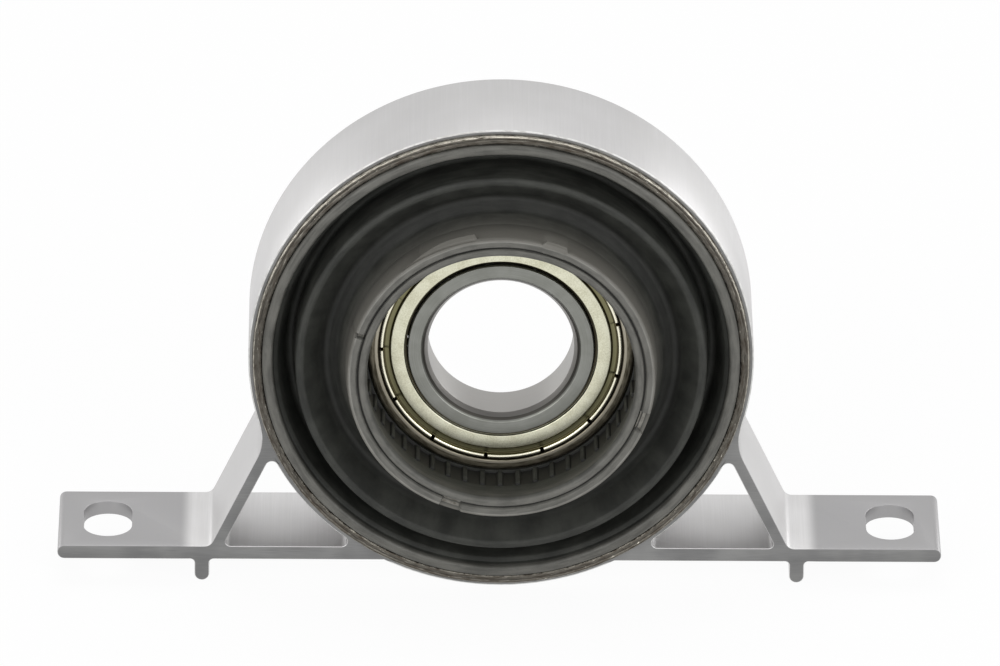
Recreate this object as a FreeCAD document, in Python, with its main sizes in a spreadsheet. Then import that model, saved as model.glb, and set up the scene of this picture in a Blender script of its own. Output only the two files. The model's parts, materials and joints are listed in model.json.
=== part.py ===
import FreeCAD, Part
import math
import os
import Sketcher

# Driveshaft centre bearing. Millimetres. The origin is the bearing's centre,
# Y runs along the shaft away from the viewer, Z is up.

os.makedirs("parts", exist_ok=True)
doc = FreeCAD.newDocument("centre_bearing")

# Driving sizes: the cell's word, its number and what it is
SIZES = [
    ("bracket_front", 10.9, "from bearing centre to the bracket's front face"),
    ("bracket_depth", 25.0, "length of the extruded profile"),
    ("bracket_length", 182.1, "over both tabs"),
    ("foot_top", 43.0, "foot's top below the axis"),
    ("foot_thick", 3.0, "foot and tab thickness"),
    ("ring_outer", 51.8, "bracket ring, outer radius"),
    ("ring_wall", 2.8, "bracket ring, wall"),
    ("recess_step", 1.5, "counterbore over the ring's bore, in radius"),
    ("recess_deep", 0.4, "depth of the counterbore under the sleeve's rim"),
    ("lead_in", 0.4, "lead-in at the front of the counterbore"),
    ("strut_lean", 25.45, "strut's lean from upright, degrees"),
    ("strut_foot", 59.6, "strut's outer face at the foot's top"),
    ("strut_thick", 2.35, "strut thickness"),
    ("strut_blend", 10.4, "hollow blend from strut into ring"),
    ("strut_root", 2.0, "hollow blend from strut into foot"),
    ("window_top", 1.3, "window's upper corner radius"),
    ("window_outer", 1.0, "window's outer corner radius"),
    ("window_inner", 1.2, "window's inner corner radius"),
    ("slot_from_end", 10.2, "slot's middle from the tab's end"),
    ("slot_radius", 5.0, "half the slot's width"),
    ("slot_long", 16.0, "slot, end to end"),
    ("rib_at", 61.3, "locating rib from the middle"),
    ("rib_wide", 3.05, "locating rib width"),
    ("rib_drop", 4.85, "locating rib's tip below the foot"),
    ("rib_root", 0.9, "hollow blend at the rib's root"),
    ("cut_past", 5.0, "turned cuts run this far past the metal"),
    ("sleeve_wall", 1.2, "outer sleeve's wall"),
    ("sleeve_short", 1.5, "outer sleeve ends this far inside the bracket"),
    ("rim_gap", 0.2, "between the curled rim and its counterbore"),
    ("rim_wide", 1.75, "curled rim, in radius"),
    ("rim_stand", 1.2, "rim in front of the bracket"),
    ("rim_round", 0.45, "rounding of the rim"),
    ("rim_flare", 0.6, "length of the flare that leads to the rim"),
    ("bead_gap", 0.15, "between the rim and the rubber bead"),
    ("bead_wide", 1.6, "rubber bead, in radius"),
    ("bead_stand", 1.6, "bead in front of the bracket"),
    ("bead_step", 0.5, "step from the bead down to the web"),
    ("wall_deep", 0.8, "top of the web's outer wall behind the bracket's face"),
    ("lining_thick", 1.3, "rubber lining inside the outer sleeve"),
    ("lining_short", 1.2, "lining ends this far inside the outer sleeve"),
    ("web_thick", 2.4, "rubber web's thickness"),
    ("valley_share", 0.75, "outer valley's place across the web"),
    ("fold_share", 0.583, "large fold's place across the web"),
    ("dip_share", 0.444, "dip's place across the web"),
    ("small_share", 0.32, "small fold's place across the web"),
    ("root_share", 0.139, "inner valley's place across the web"),
    ("flank_share", 0.38, "how wide a crest or valley is towards the next"),
    ("slope_share", 0.6, "the same for the slopes at the web's two edges"),
    ("valley_deep", 7.0, "outer valley behind the bracket's face"),
    ("valley_bowl", 1.7, "rise of the outer valley's bowl"),
    ("valley_rise", 1.9, "rise of the web's back from valley to lining"),
    ("fold_stand", 2.4, "large fold in front of the bracket"),
    ("fold_crown", 0.75, "height of the large fold's crown"),
    ("dip_stand", 0.7, "dip between the folds, in front"),
    ("small_stand", 1.5, "small fold in front"),
    ("small_crown", 0.35, "height of the small fold's crown"),
    ("root_deep", 1.6, "inner valley behind the bracket's face"),
    ("root_bowl", 0.8, "rise of the inner valley's bowl"),
    ("collar_stand", 9.4, "collar's lip in front of the bracket"),
    ("collar_cover", 0.65, "rubber over the hub sleeve at the lip"),
    ("collar_flare", 1.0, "collar's root wider than its lip, in radius"),
    ("tail_flare", 0.3, "collar's tail wider than its lip, in radius"),
    ("lip_edge", 0.5, "outer edge of the lip"),
    ("lip_cover", 1.4, "rubber in front of the hub sleeve"),
    ("mouth_flare", 0.85, "mouth's cone opens by this, in radius"),
    ("mouth_bevel", 0.25, "bevel between mouth and lip, in radius"),
    ("mouth_edge", 0.7, "the same bevel along the shaft"),
    ("groove_wide", 0.5, "groove round the lip"),
    ("groove_deep", 0.5, "depth of the lip's groove"),
    ("bore_clear", 0.55, "rubber bore over the bearing, in radius"),
    ("bore_straight", 5.7, "straight bore in front of the bearing"),
    ("crush_rib_count", 48, "ribs in the rubber bore"),
    ("crush_rib_wide", 1.35, "rib width"),
    ("crush_rib_root", 0.3, "rib's root sunk in the bore's wall"),
    ("hub_lining", 2.05, "rubber between bearing and hub sleeve"),
    ("hub_wall", 1.2, "hub sleeve's wall"),
    ("stop_pad", 1.66, "rubber pad behind the bearing"),
    ("stop_cover", 1.9, "how far the rear stop covers the bearing's edge"),
    ("pad_short", 0.7, "rubber pad ends this far outside the stop's edge"),
    ("fit_gap", 0.02, "clearance of one piece seated in another"),
    ("bearing_outer", 27.5, "bearing outside radius"),
    ("bearing_bore", 15.0, "bearing bore radius"),
    ("bearing_half", 6.5, "half the bearing's width"),
    ("outer_chamfer", 0.8, "outer ring's corner"),
    ("inner_chamfer", 0.9, "inner ring's bore corner"),
    ("edge_break", 0.3, "ground edges"),
    ("land_half", 2.15, "ring shoulders from the ball circle"),
    ("seat_wall", 2.5, "outer ring's wall at the shield seat"),
    ("seat_deep", 1.7, "depth of the shield seat"),
    ("ball_radius", 3.572, "ball, nine thirty-seconds of an inch across"),
    ("ball_count", 11, "number of balls"),
    ("race_play", 0.05, "play between ball and race"),
    ("race_open", 0.12, "race radius over ball radius"),
    ("shield_clear", 0.62, "shield's inner edge over the inner ring's shoulder"),
    ("shield_gap", 0.15, "shield's crimped edge inside its seat"),
    ("shield_sink", 0.5, "shield's flat behind the ring's face"),
    ("shield_step", 0.55, "depth of the shield's channel"),
    ("shield_sheet", 0.35, "shield sheet thickness"),
    ("hem_deep", 0.84, "depth of the shield's inner hem"),
    ("channel_wide", 1.15, "shield's channel, in radius"),
    ("channel_slope", 0.25, "slope from flat to channel, in radius"),
    ("crimp_wide", 1.1, "crimped edge, in radius"),
    ("crimp_sink", 0.18, "crimped edge behind the ring's face"),
    ("crimp_soft", 0.25, "rounding of the crimped edge"),
    ("notch_count", 13, "notches in the crimped edge"),
    ("notch_wide", 0.5, "notch width"),
    ("cage_sheet", 0.5, "cage sheet thickness"),
    ("cage_in", 0.95, "cage inside the ball circle"),
    ("cage_out", 1.05, "cage outside the ball circle"),
    ("cage_play", 0.12, "play between ball and cage pocket"),
    ("cage_gap", 0.03, "half the joint between the cage halves"),
    ("rivet_radius", 0.5, "rivet shank"),
    ("rivet_head", 0.8, "rivet head"),
    ("rivet_head_high", 0.35, "rivet head height"),
]

# Sizes worked out from the driving ones
DERIVED = [
    ("bracket_back", "bracket_depth - bracket_front"),
    ("foot_low", "foot_top + foot_thick"),
    ("foot_mid", "foot_top + foot_thick / 2"),
    ("tab_end", "bracket_length / 2 - foot_thick / 2"),
    ("lean_cos", "cos(strut_lean)"),
    ("lean_sin", "sin(strut_lean)"),
    ("outer_line", "lean_cos * strut_foot - lean_sin * foot_top"),
    ("inner_line", "outer_line - strut_thick"),
    ("blend_far", "sqrt((ring_outer + strut_blend)^2 - (outer_line + strut_blend)^2)"),
    ("blend_x", "lean_cos * (outer_line + strut_blend) + lean_sin * blend_far"),
    ("blend_z", "lean_cos * blend_far - lean_sin * (outer_line + strut_blend)"),
    ("blend_ring_x", "blend_x * ring_outer / (ring_outer + strut_blend)"),
    ("blend_ring_z", "blend_z * ring_outer / (ring_outer + strut_blend)"),
    ("blend_line_x", "blend_x - lean_cos * strut_blend"),
    ("blend_line_z", "blend_z + lean_sin * strut_blend"),
    ("root_z", "foot_top - strut_root"),
    ("root_x", "(outer_line + strut_root + lean_sin * root_z) / lean_cos"),
    ("root_line_x", "root_x - lean_cos * strut_root"),
    ("root_line_z", "root_z + lean_sin * strut_root"),
    ("inside_ring", "ring_outer / 2"),
    ("peak_far", "sqrt((ring_outer + window_top)^2 - (inner_line - window_top)^2)"),
    ("peak_x", "lean_cos * (inner_line - window_top) + lean_sin * peak_far"),
    ("peak_z", "lean_cos * peak_far - lean_sin * (inner_line - window_top)"),
    ("peak_ring_x", "peak_x * ring_outer / (ring_outer + window_top)"),
    ("peak_ring_z", "peak_z * ring_outer / (ring_outer + window_top)"),
    ("peak_line_x", "peak_x + lean_cos * window_top"),
    ("peak_line_z", "peak_z - lean_sin * window_top"),
    ("low_out_z", "foot_top - window_outer"),
    ("low_out_x", "(inner_line - window_outer + lean_sin * low_out_z) / lean_cos"),
    ("low_line_x", "low_out_x + lean_cos * window_outer"),
    ("low_line_z", "low_out_z - lean_sin * window_outer"),
    ("low_in_z", "foot_top - window_inner"),
    ("low_in_x", "sqrt((ring_outer + window_inner)^2 - low_in_z^2)"),
    ("low_ring_x", "low_in_x * ring_outer / (ring_outer + window_inner)"),
    ("low_ring_z", "low_in_z * ring_outer / (ring_outer + window_inner)"),
    ("rib_left", "rib_at - rib_wide / 2"),
    ("rib_right", "rib_at + rib_wide / 2"),
    ("rib_root_left", "rib_left - rib_root"),
    ("rib_root_right", "rib_right + rib_root"),
    ("rib_root_z", "foot_low + rib_root"),
    ("rib_tip_z", "foot_low + rib_drop - rib_wide / 2"),
    ("slot_at", "bracket_length / 2 - slot_from_end"),
    ("slot_out", "slot_at + slot_radius"),
    ("slot_in", "slot_at - slot_radius"),
    ("slot_mid", "bracket_depth / 2 - bracket_front"),
    ("slot_near", "slot_mid - slot_long / 2 + slot_radius"),
    ("slot_far", "slot_mid + slot_long / 2 - slot_radius"),
    ("ring_bore", "ring_outer - ring_wall"),
    ("recess_radius", "ring_bore + recess_step"),
    ("recess_floor", "bracket_front - recess_deep"),
    ("lead_radius", "recess_radius + lead_in"),
    ("cut_front", "bracket_front + cut_past"),
    ("cut_back", "bracket_back + cut_past"),
    ("sleeve_inner", "ring_bore - sleeve_wall"),
    ("sleeve_back", "bracket_back - sleeve_short"),
    ("rim_radius", "recess_radius - rim_gap"),
    ("rim_inner", "rim_radius - rim_wide"),
    ("rim_front", "bracket_front + rim_stand"),
    ("rim_shoulder", "rim_front - rim_round"),
    ("rim_flat_out", "rim_radius - rim_round"),
    ("rim_flat_in", "rim_inner + rim_round"),
    ("rim_throat", "bracket_front - rim_flare"),
    ("bead_outer", "rim_inner - bead_gap"),
    ("bead_inner", "bead_outer - bead_wide"),
    ("bead_mid", "bead_outer - bead_wide / 2"),
    ("bead_front", "bracket_front + bead_stand"),
    ("bead_shoulder", "bead_front - bead_wide / 2"),
    ("flare_slope", "rim_flare / (rim_inner - sleeve_inner)"),
    ("bead_throat", "rim_throat + flare_slope * (bead_outer - sleeve_inner)"),
    ("lining_back", "sleeve_back - lining_short"),
    ("lining_inner", "sleeve_inner - lining_thick"),
    ("bore_fit", "bearing_outer + fit_gap"),
    ("collar_bore", "bearing_outer + bore_clear"),
    ("lip_bore", "collar_bore + mouth_flare"),
    ("hub_inner", "bearing_outer + hub_lining"),
    ("hub_outer", "hub_inner + hub_wall"),
    ("collar_outer", "hub_outer + collar_cover"),
    ("collar_root", "collar_outer + collar_flare"),
    ("collar_tail", "collar_outer + tail_flare"),
    ("collar_front", "bracket_front + collar_stand"),
    ("collar_edge", "collar_front - lip_edge"),
    ("collar_edge_r", "collar_outer - lip_edge"),
    ("lip_in", "lip_bore + mouth_bevel"),
    ("lip_groove", "lip_in + groove_wide / 2"),
    ("lip_out", "lip_in + groove_wide"),
    ("lip_deep", "collar_front - groove_deep"),
    ("mouth_y", "collar_front - mouth_edge"),
    ("cone_y", "bearing_half + bore_straight"),
    ("hub_front", "collar_front - lip_cover"),
    ("rubber_stop", "bearing_half + fit_gap"),
    ("pad_back", "rubber_stop + stop_pad"),
    ("hub_turn", "pad_back + fit_gap"),
    ("hub_back", "hub_turn + hub_wall"),
    ("stop_bore", "bearing_outer - stop_cover"),
    ("pad_inner", "stop_bore + pad_short"),
    ("web_span", "bead_inner - collar_root"),
    ("valley_at", "collar_root + web_span * valley_share"),
    ("fold_at", "collar_root + web_span * fold_share"),
    ("dip_at", "collar_root + web_span * dip_share"),
    ("small_at", "collar_root + web_span * small_share"),
    ("root_at", "collar_root + web_span * root_share"),
    ("wall_top", "bead_inner - bead_step"),
    ("wall_front", "bracket_front - wall_deep"),
    ("valley_out", "valley_at + (wall_top - valley_at) * slope_share"),
    ("valley_in", "valley_at - (valley_at - fold_at) * flank_share"),
    ("fold_out", "fold_at + (valley_at - fold_at) * flank_share"),
    ("fold_in", "fold_at - (fold_at - dip_at) * flank_share"),
    ("small_out", "small_at + (dip_at - small_at) * flank_share"),
    ("small_in", "small_at - (small_at - root_at) * flank_share"),
    ("root_out", "root_at + (small_at - root_at) * flank_share"),
    ("root_in", "root_at - (root_at - collar_root) * slope_share"),
    ("valley_y", "bracket_front - valley_deep"),
    ("valley_side", "valley_y + valley_bowl"),
    ("fold_y", "bracket_front + fold_stand"),
    ("fold_side", "fold_y - fold_crown"),
    ("dip_y", "bracket_front + dip_stand"),
    ("small_y", "bracket_front + small_stand"),
    ("small_side", "small_y - small_crown"),
    ("root_y", "bracket_front - root_deep"),
    ("root_side", "root_y + root_bowl"),
    ("back_valley", "valley_y - web_thick"),
    ("back_wall", "back_valley - valley_rise"),
    ("back_foot", "valley_y - web_thick / 2"),
    ("back_dip", "dip_y - web_thick"),
    ("back_small", "small_y - web_thick"),
    ("back_root", "root_y - web_thick"),
    ("crush_half", "crush_rib_wide / 2"),
    ("crush_base", "collar_bore + crush_rib_root"),
    ("crush_front", "cone_y + fit_gap"),
    ("crush_long", "crush_front - rubber_stop"),
    ("pitch_radius", "(bearing_outer + bearing_bore) / 2"),
    ("outer_land", "pitch_radius + land_half"),
    ("inner_land", "pitch_radius - land_half"),
    ("seat_radius", "bearing_outer - seat_wall"),
    ("inner_race", "pitch_radius - ball_radius - race_play"),
    ("outer_race", "pitch_radius + ball_radius + race_play"),
    ("race_r", "ball_radius + race_open"),
    ("race_c_in", "inner_race + race_r"),
    ("race_c_out", "outer_race - race_r"),
    ("race_in_half", "sqrt(race_r^2 - (race_c_in - inner_land)^2)"),
    ("race_out_half", "sqrt(race_r^2 - (outer_land - race_c_out)^2)"),
    ("seat_floor", "bearing_half - seat_deep"),
    ("face_out", "bearing_half - outer_chamfer"),
    ("face_out_r", "bearing_outer - outer_chamfer"),
    ("face_in", "bearing_half - inner_chamfer"),
    ("face_in_r", "bearing_bore + inner_chamfer"),
    ("land_edge", "bearing_half - edge_break"),
    ("land_edge_r", "inner_land - edge_break"),
    ("seat_edge_r", "seat_radius + edge_break"),
    ("shield_inner", "inner_land + shield_clear"),
    ("shield_outer", "seat_radius - shield_gap"),
    ("channel_outer", "shield_outer - crimp_wide"),
    ("flat_outer", "channel_outer - channel_wide"),
    ("channel_start", "flat_outer + channel_slope"),
    ("flat_y", "bearing_half - shield_sink"),
    ("flat_back", "flat_y - shield_sheet"),
    ("flat_in_r", "flat_outer - shield_sheet"),
    ("channel_y", "flat_y - shield_step"),
    ("channel_back", "channel_y - shield_sheet"),
    ("hem_in", "shield_inner + shield_sheet"),
    ("hem_back", "flat_y - hem_deep"),
    ("crimp_y", "bearing_half - crimp_sink"),
    ("crimp_side", "crimp_y - crimp_soft"),
    ("crimp_mid", "shield_outer - crimp_soft"),
    ("crimp_in", "crimp_mid - crimp_soft"),
    ("notch_half", "notch_wide / 2"),
    ("notch_in", "channel_outer + fit_gap"),
    ("notch_deep", "bearing_half - channel_y - fit_gap"),
    ("cage_inner", "pitch_radius - cage_in"),
    ("cage_outer", "pitch_radius + cage_out"),
    ("pocket_in", "ball_radius + cage_play"),
    ("pocket_out", "pocket_in + cage_sheet"),
    ("sheet_far", "cage_gap + cage_sheet"),
    ("rivet_end", "sheet_far + rivet_head_high"),
    ("rivet_long", "sheet_far * 2"),
    ("rivet_hole", "rivet_radius + fit_gap"),
    ("ball_turn", "360 / ball_count"),
    ("rivet_x", "pitch_radius * cos(ball_turn / 2)"),
    ("rivet_z", "pitch_radius * sin(ball_turn / 2)"),
]

sheet = doc.addObject("Spreadsheet::Sheet", "Sizes")
row = 1
for word, value, note in SIZES:
    sheet.set("A%d" % row, word)
    sheet.set("B%d" % row, str(value))
    sheet.set("C%d" % row, note)
    sheet.setAlias("B%d" % row, word)
    row += 1
for word, rule in DERIVED:
    sheet.set("A%d" % row, word)
    sheet.set("B%d" % row, "=" + rule)
    sheet.setAlias("B%d" % row, word)
    row += 1
doc.recompute()


least_cut = 0.01  # cubic millimetres; a pocket that removes less is on the wrong side


def size(word):
    # the number in a cell; a leading minus turns it round
    if word == "0":
        return 0.0
    if word.startswith("-"):
        return -size(word[1:])
    value = getattr(sheet, word)
    return float(getattr(value, "Value", value))


def rule(word):
    # the expression that reads the same cell
    if word == "0":
        return "0"
    if word.startswith("-"):
        return "-Sizes." + word[1:]
    return "Sizes." + word


def plane_of(body, role):
    for item in body.Origin.OriginFeatures:
        if item.Role == role:
            return item
    raise ValueError("no plane " + role)


def new_body(label):
    body = doc.addObject("PartDesign::Body", label)
    body.Label = label
    return body


def new_sketch(body, role, lift=None):
    sketch = body.newObject("Sketcher::SketchObject", body.Name + "_sketch")
    sketch.AttachmentSupport = [(plane_of(body, role), "")]
    sketch.MapMode = "FlatFace"
    if lift:
        sketch.setExpression("AttachmentOffset.Base.z", rule(lift))
    doc.recompute()
    return sketch


def pin_point(sketch, index, end, spot, only=None):
    # hold one end of a line or arc at two cells
    for kind, word in (("DistanceX", spot[0]), ("DistanceY", spot[1])):
        if only and kind != only:
            continue
        if word == "0":
            axis = -2 if kind == "DistanceX" else -1
            sketch.addConstraint(Sketcher.Constraint("PointOnObject", index, end, axis))
            continue
        made = sketch.addConstraint(Sketcher.Constraint(kind, index, end, size(word)))
        sketch.setExpression("Constraints[%d]" % made, rule(word))


def outline(sketch, spots):
    # A closed outline. Each spot is (x, y), or (x, y, centre x, centre y, way)
    # where the piece that leaves it is an arc: way is 1 anticlockwise, -1 clockwise.
    count = len(spots)
    made = []
    for i, spot in enumerate(spots):
        after = spots[(i + 1) % count]
        a = FreeCAD.Vector(size(spot[0]), size(spot[1]), 0)
        b = FreeCAD.Vector(size(after[0]), size(after[1]), 0)
        if len(spot) == 2:
            made.append((sketch.addGeometry(Part.LineSegment(a, b), False), 1, 2))
            continue
        c = FreeCAD.Vector(size(spot[2]), size(spot[3]), 0)
        start = math.atan2(a.y - c.y, a.x - c.x)
        stop = math.atan2(b.y - c.y, b.x - c.x)
        if spot[4] < 0:
            start, stop = stop, start
        if stop <= start:
            stop += 2 * math.pi
        circle = Part.Circle(c, FreeCAD.Vector(0, 0, 1), (a - c).Length)
        arc = Part.ArcOfCircle(circle, start, stop)
        ends = (1, 2) if spot[4] > 0 else (2, 1)
        made.append((sketch.addGeometry(arc, False),) + ends)
    for i, spot in enumerate(spots):
        here = made[i]
        before = made[i - 1]
        sketch.addConstraint(
            Sketcher.Constraint("Coincident", before[0], before[2], here[0], here[1])
        )
        pin_point(sketch, here[0], here[1], spot)
    for i, spot in enumerate(spots):
        if len(spot) == 2:
            continue
        # both ends are held, so the centre needs one more distance
        after = spots[(i + 1) % count]
        across = abs(size(after[0]) - size(spot[0]))
        along = abs(size(after[1]) - size(spot[1]))
        only = "DistanceX" if along > across else "DistanceY"
        pin_point(sketch, made[i][0], 3, spot[2:4], only)
    doc.recompute()


def ring_of(sketch, radius):
    # one circle round the origin
    circle = Part.Circle(FreeCAD.Vector(), FreeCAD.Vector(0, 0, 1), size(radius))
    index = sketch.addGeometry(circle)
    sketch.addConstraint(Sketcher.Constraint("Coincident", index, 3, -1, 1))
    made = sketch.addConstraint(Sketcher.Constraint("Radius", index, size(radius)))
    sketch.setExpression("Constraints[%d]" % made, rule(radius))
    doc.recompute()


def pad(body, sketch, length):
    # the pad grows from the sketch towards +Y
    feature = body.newObject("PartDesign::Pad", body.Name + "_pad")
    feature.Profile = sketch
    feature.Reversed = True
    feature.setExpression("Length", rule(length))
    sketch.Visibility = False
    doc.recompute()
    return feature


def turn(body, sketch, cut=False):
    # revolve, or cut away, an outline round the shaft's axis
    kind = "PartDesign::Groove" if cut else "PartDesign::Revolution"
    feature = body.newObject(kind, body.Name + ("_groove" if cut else "_turn"))
    feature.Profile = sketch
    feature.ReferenceAxis = (sketch, ["V_Axis"])
    feature.Angle = 360
    sketch.Visibility = False
    doc.recompute()
    return feature


def around(body, features, count):
    # repeat features round the shaft's axis
    pattern = body.newObject("PartDesign::PolarPattern", body.Name + "_around")
    pattern.Originals = features
    axis = [x for x in body.Origin.OriginFeatures if x.Role == "Y_Axis"][0]
    pattern.Axis = (axis, [""])
    pattern.Angle = 360
    pattern.setExpression("Occurrences", rule(count))
    body.Tip = pattern
    doc.recompute()
    return pattern


def pocket(body, sketch, length, label):
    # cut from the sketch into the metal; whichever way removes it is kept
    whole = body.Tip.Shape.Volume
    feature = body.newObject("PartDesign::Pocket", label)
    feature.Profile = sketch
    feature.setExpression("Length", rule(length))
    sketch.Visibility = False
    doc.recompute()
    if whole - feature.Shape.Volume < least_cut:
        feature.Reversed = not feature.Reversed
        doc.recompute()
    if whole - feature.Shape.Volume < least_cut:
        raise ValueError(label + " removes nothing")
    return feature


# Bracket: one length of extruded profile, then turned and slotted
bracket = new_body("bracket")
sketch = new_sketch(bracket, "XZ_Plane", "bracket_front")
outline(sketch, [
    ("-tab_end", "-foot_low"),
    ("tab_end", "-foot_low", "tab_end", "-foot_mid", 1),
    ("tab_end", "-foot_top"),
    ("-tab_end", "-foot_top", "-tab_end", "-foot_mid", 1),
])
pad(bracket, sketch, "bracket_depth")

sketch = new_sketch(bracket, "XZ_Plane", "bracket_front")
ring_of(sketch, "ring_outer")
pad(bracket, sketch, "bracket_depth")

sketch = new_sketch(bracket, "XZ_Plane", "bracket_front")
outline(sketch, [
    ("blend_ring_x", "-blend_ring_z", "blend_x", "-blend_z", 1),
    ("blend_line_x", "-blend_line_z"),
    ("root_line_x", "-root_line_z", "root_x", "-root_z", 1),
    ("root_x", "-foot_top"),
    ("root_x", "-foot_mid"),
    ("inside_ring", "-foot_mid"),
    ("inside_ring", "-inside_ring"),
])
strut = pad(bracket, sketch, "bracket_depth")

sketch = new_sketch(bracket, "XZ_Plane", "bracket_front")
outline(sketch, [
    ("rib_root_left", "-foot_low", "rib_root_left", "-rib_root_z", -1),
    ("rib_left", "-rib_root_z"),
    ("rib_left", "-rib_tip_z", "rib_at", "-rib_tip_z", 1),
    ("rib_right", "-rib_tip_z"),
    ("rib_right", "-rib_root_z", "rib_root_right", "-rib_root_z", -1),
    ("rib_root_right", "-foot_low"),
    ("rib_root_right", "-foot_mid"),
    ("rib_root_left", "-foot_mid"),
])
rib = pad(bracket, sketch, "bracket_depth")

sketch = new_sketch(bracket, "XZ_Plane", "bracket_front")
outline(sketch, [
    ("peak_ring_x", "-peak_ring_z", "peak_x", "-peak_z", -1),
    ("peak_line_x", "-peak_line_z"),
    ("low_line_x", "-low_line_z", "low_out_x", "-low_out_z", -1),
    ("low_out_x", "-foot_top"),
    ("low_in_x", "-foot_top", "low_in_x", "-low_in_z", -1),
    ("low_ring_x", "-low_ring_z", "0", "0", 1),
])
window = pocket(bracket, sketch, "bracket_depth", "bracket_window")

sketch = new_sketch(bracket, "XY_Plane", "-foot_top")
outline(sketch, [
    ("slot_in", "slot_near", "slot_at", "slot_near", 1),
    ("slot_out", "slot_near"),
    ("slot_out", "slot_far", "slot_at", "slot_far", 1),
    ("slot_in", "slot_far"),
])
slot = pocket(bracket, sketch, "foot_thick", "bracket_slot")

twin = bracket.newObject("PartDesign::Mirrored", "bracket_twin")
twin.Originals = [strut, rib, window, slot]
twin.MirrorPlane = (plane_of(bracket, "YZ_Plane"), [""])
bracket.Tip = twin
doc.recompute()

sketch = new_sketch(bracket, "XY_Plane")
outline(sketch, [
    ("0", "-cut_front"),
    ("lead_radius", "-cut_front"),
    ("lead_radius", "-bracket_front"),
    ("recess_radius", "-recess_floor"),
    ("ring_bore", "-recess_floor"),
    ("ring_bore", "cut_back"),
    ("0", "cut_back"),
])
turn(bracket, sketch, cut=True)

# Outer sleeve: a steel tube whose front edge is curled outward
sleeve = new_body("outer_sleeve")
sketch = new_sketch(sleeve, "XY_Plane")
outline(sketch, [
    ("sleeve_inner", "sleeve_back"),
    ("sleeve_inner", "-rim_throat"),
    ("rim_inner", "-bracket_front"),
    ("rim_inner", "-rim_shoulder", "rim_flat_in", "-rim_shoulder", 1),
    ("rim_flat_in", "-rim_front"),
    ("rim_flat_out", "-rim_front", "rim_flat_out", "-rim_shoulder", 1),
    ("rim_radius", "-rim_shoulder"),
    ("rim_radius", "-recess_floor"),
    ("ring_bore", "-recess_floor"),
    ("ring_bore", "sleeve_back"),
])
turn(sleeve, sketch)

# Rubber mount: bead, folded web, collar and ribbed bore in one moulding
rubber = new_body("rubber_mount")
sketch = new_sketch(rubber, "XY_Plane")
outline(sketch, [
    ("bead_outer", "-bead_throat"),
    ("sleeve_inner", "-rim_throat"),
    ("sleeve_inner", "lining_back"),
    ("lining_inner", "lining_back"),
    ("lining_inner", "-back_wall"),
    ("valley_at", "-back_valley"),
    ("fold_at", "-back_foot"),
    ("dip_at", "-back_dip"),
    ("small_at", "-back_small"),
    ("root_at", "-back_root"),
    ("collar_root", "-back_root"),
    ("collar_tail", "pad_back"),
    ("hub_outer", "pad_back"),
    ("hub_outer", "-hub_front"),
    ("hub_inner", "-hub_front"),
    ("hub_inner", "pad_back"),
    ("pad_inner", "pad_back"),
    ("pad_inner", "rubber_stop"),
    ("bore_fit", "rubber_stop"),
    ("bore_fit", "-rubber_stop"),
    ("collar_bore", "-rubber_stop"),
    ("collar_bore", "-cone_y"),
    ("lip_bore", "-mouth_y"),
    ("lip_in", "-collar_front"),
    ("lip_groove", "-lip_deep"),
    ("lip_out", "-collar_front"),
    ("collar_edge_r", "-collar_front"),
    ("collar_outer", "-collar_edge"),
    ("collar_root", "-root_side"),
    ("root_in", "-root_side"),
    ("root_at", "-root_y"),
    ("root_out", "-root_side"),
    ("small_in", "-small_side"),
    ("small_at", "-small_y"),
    ("small_out", "-small_side"),
    ("dip_at", "-dip_y"),
    ("fold_in", "-fold_side"),
    ("fold_at", "-fold_y"),
    ("fold_out", "-fold_side"),
    ("valley_in", "-valley_side"),
    ("valley_at", "-valley_y"),
    ("valley_out", "-valley_side"),
    ("wall_top", "-wall_front"),
    ("bead_inner", "-bracket_front"),
    ("bead_inner", "-bead_shoulder", "bead_mid", "-bead_shoulder", 1),
    ("bead_outer", "-bead_shoulder"),
])
turn(rubber, sketch)

sketch = new_sketch(rubber, "XZ_Plane", "crush_front")
outline(sketch, [
    ("-crush_half", "bearing_outer"),
    ("crush_half", "bearing_outer"),
    ("crush_half", "crush_base"),
    ("-crush_half", "crush_base"),
])
crush_rib = pad(rubber, sketch, "crush_long")
around(rubber, [crush_rib], "crush_rib_count")

# Hub sleeve: the steel tube moulded into the collar, turned in at the back
hub = new_body("hub_sleeve")
sketch = new_sketch(hub, "XY_Plane")
outline(sketch, [
    ("hub_inner", "-hub_front"),
    ("hub_outer", "-hub_front"),
    ("hub_outer", "hub_back"),
    ("stop_bore", "hub_back"),
    ("stop_bore", "hub_turn"),
    ("hub_inner", "hub_turn"),
])
turn(hub, sketch)

# Bearing rings
outer = new_body("bearing_outer_ring")
sketch = new_sketch(outer, "XY_Plane")
outline(sketch, [
    ("bearing_outer", "-face_out"),
    ("bearing_outer", "face_out"),
    ("face_out_r", "bearing_half"),
    ("seat_edge_r", "bearing_half"),
    ("seat_radius", "land_edge"),
    ("seat_radius", "seat_floor"),
    ("outer_land", "seat_floor"),
    ("outer_land", "race_out_half", "race_c_out", "0", -1),
    ("outer_land", "-race_out_half"),
    ("outer_land", "-seat_floor"),
    ("seat_radius", "-seat_floor"),
    ("seat_radius", "-land_edge"),
    ("seat_edge_r", "-bearing_half"),
    ("face_out_r", "-bearing_half"),
])
turn(outer, sketch)

inner = new_body("bearing_inner_ring")
sketch = new_sketch(inner, "XY_Plane")
outline(sketch, [
    ("bearing_bore", "-face_in"),
    ("face_in_r", "-bearing_half"),
    ("land_edge_r", "-bearing_half"),
    ("inner_land", "-land_edge"),
    ("inner_land", "-race_in_half", "race_c_in", "0", -1),
    ("inner_land", "race_in_half"),
    ("inner_land", "land_edge"),
    ("land_edge_r", "bearing_half"),
    ("face_in_r", "bearing_half"),
    ("bearing_bore", "face_in"),
])
turn(inner, sketch)


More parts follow.
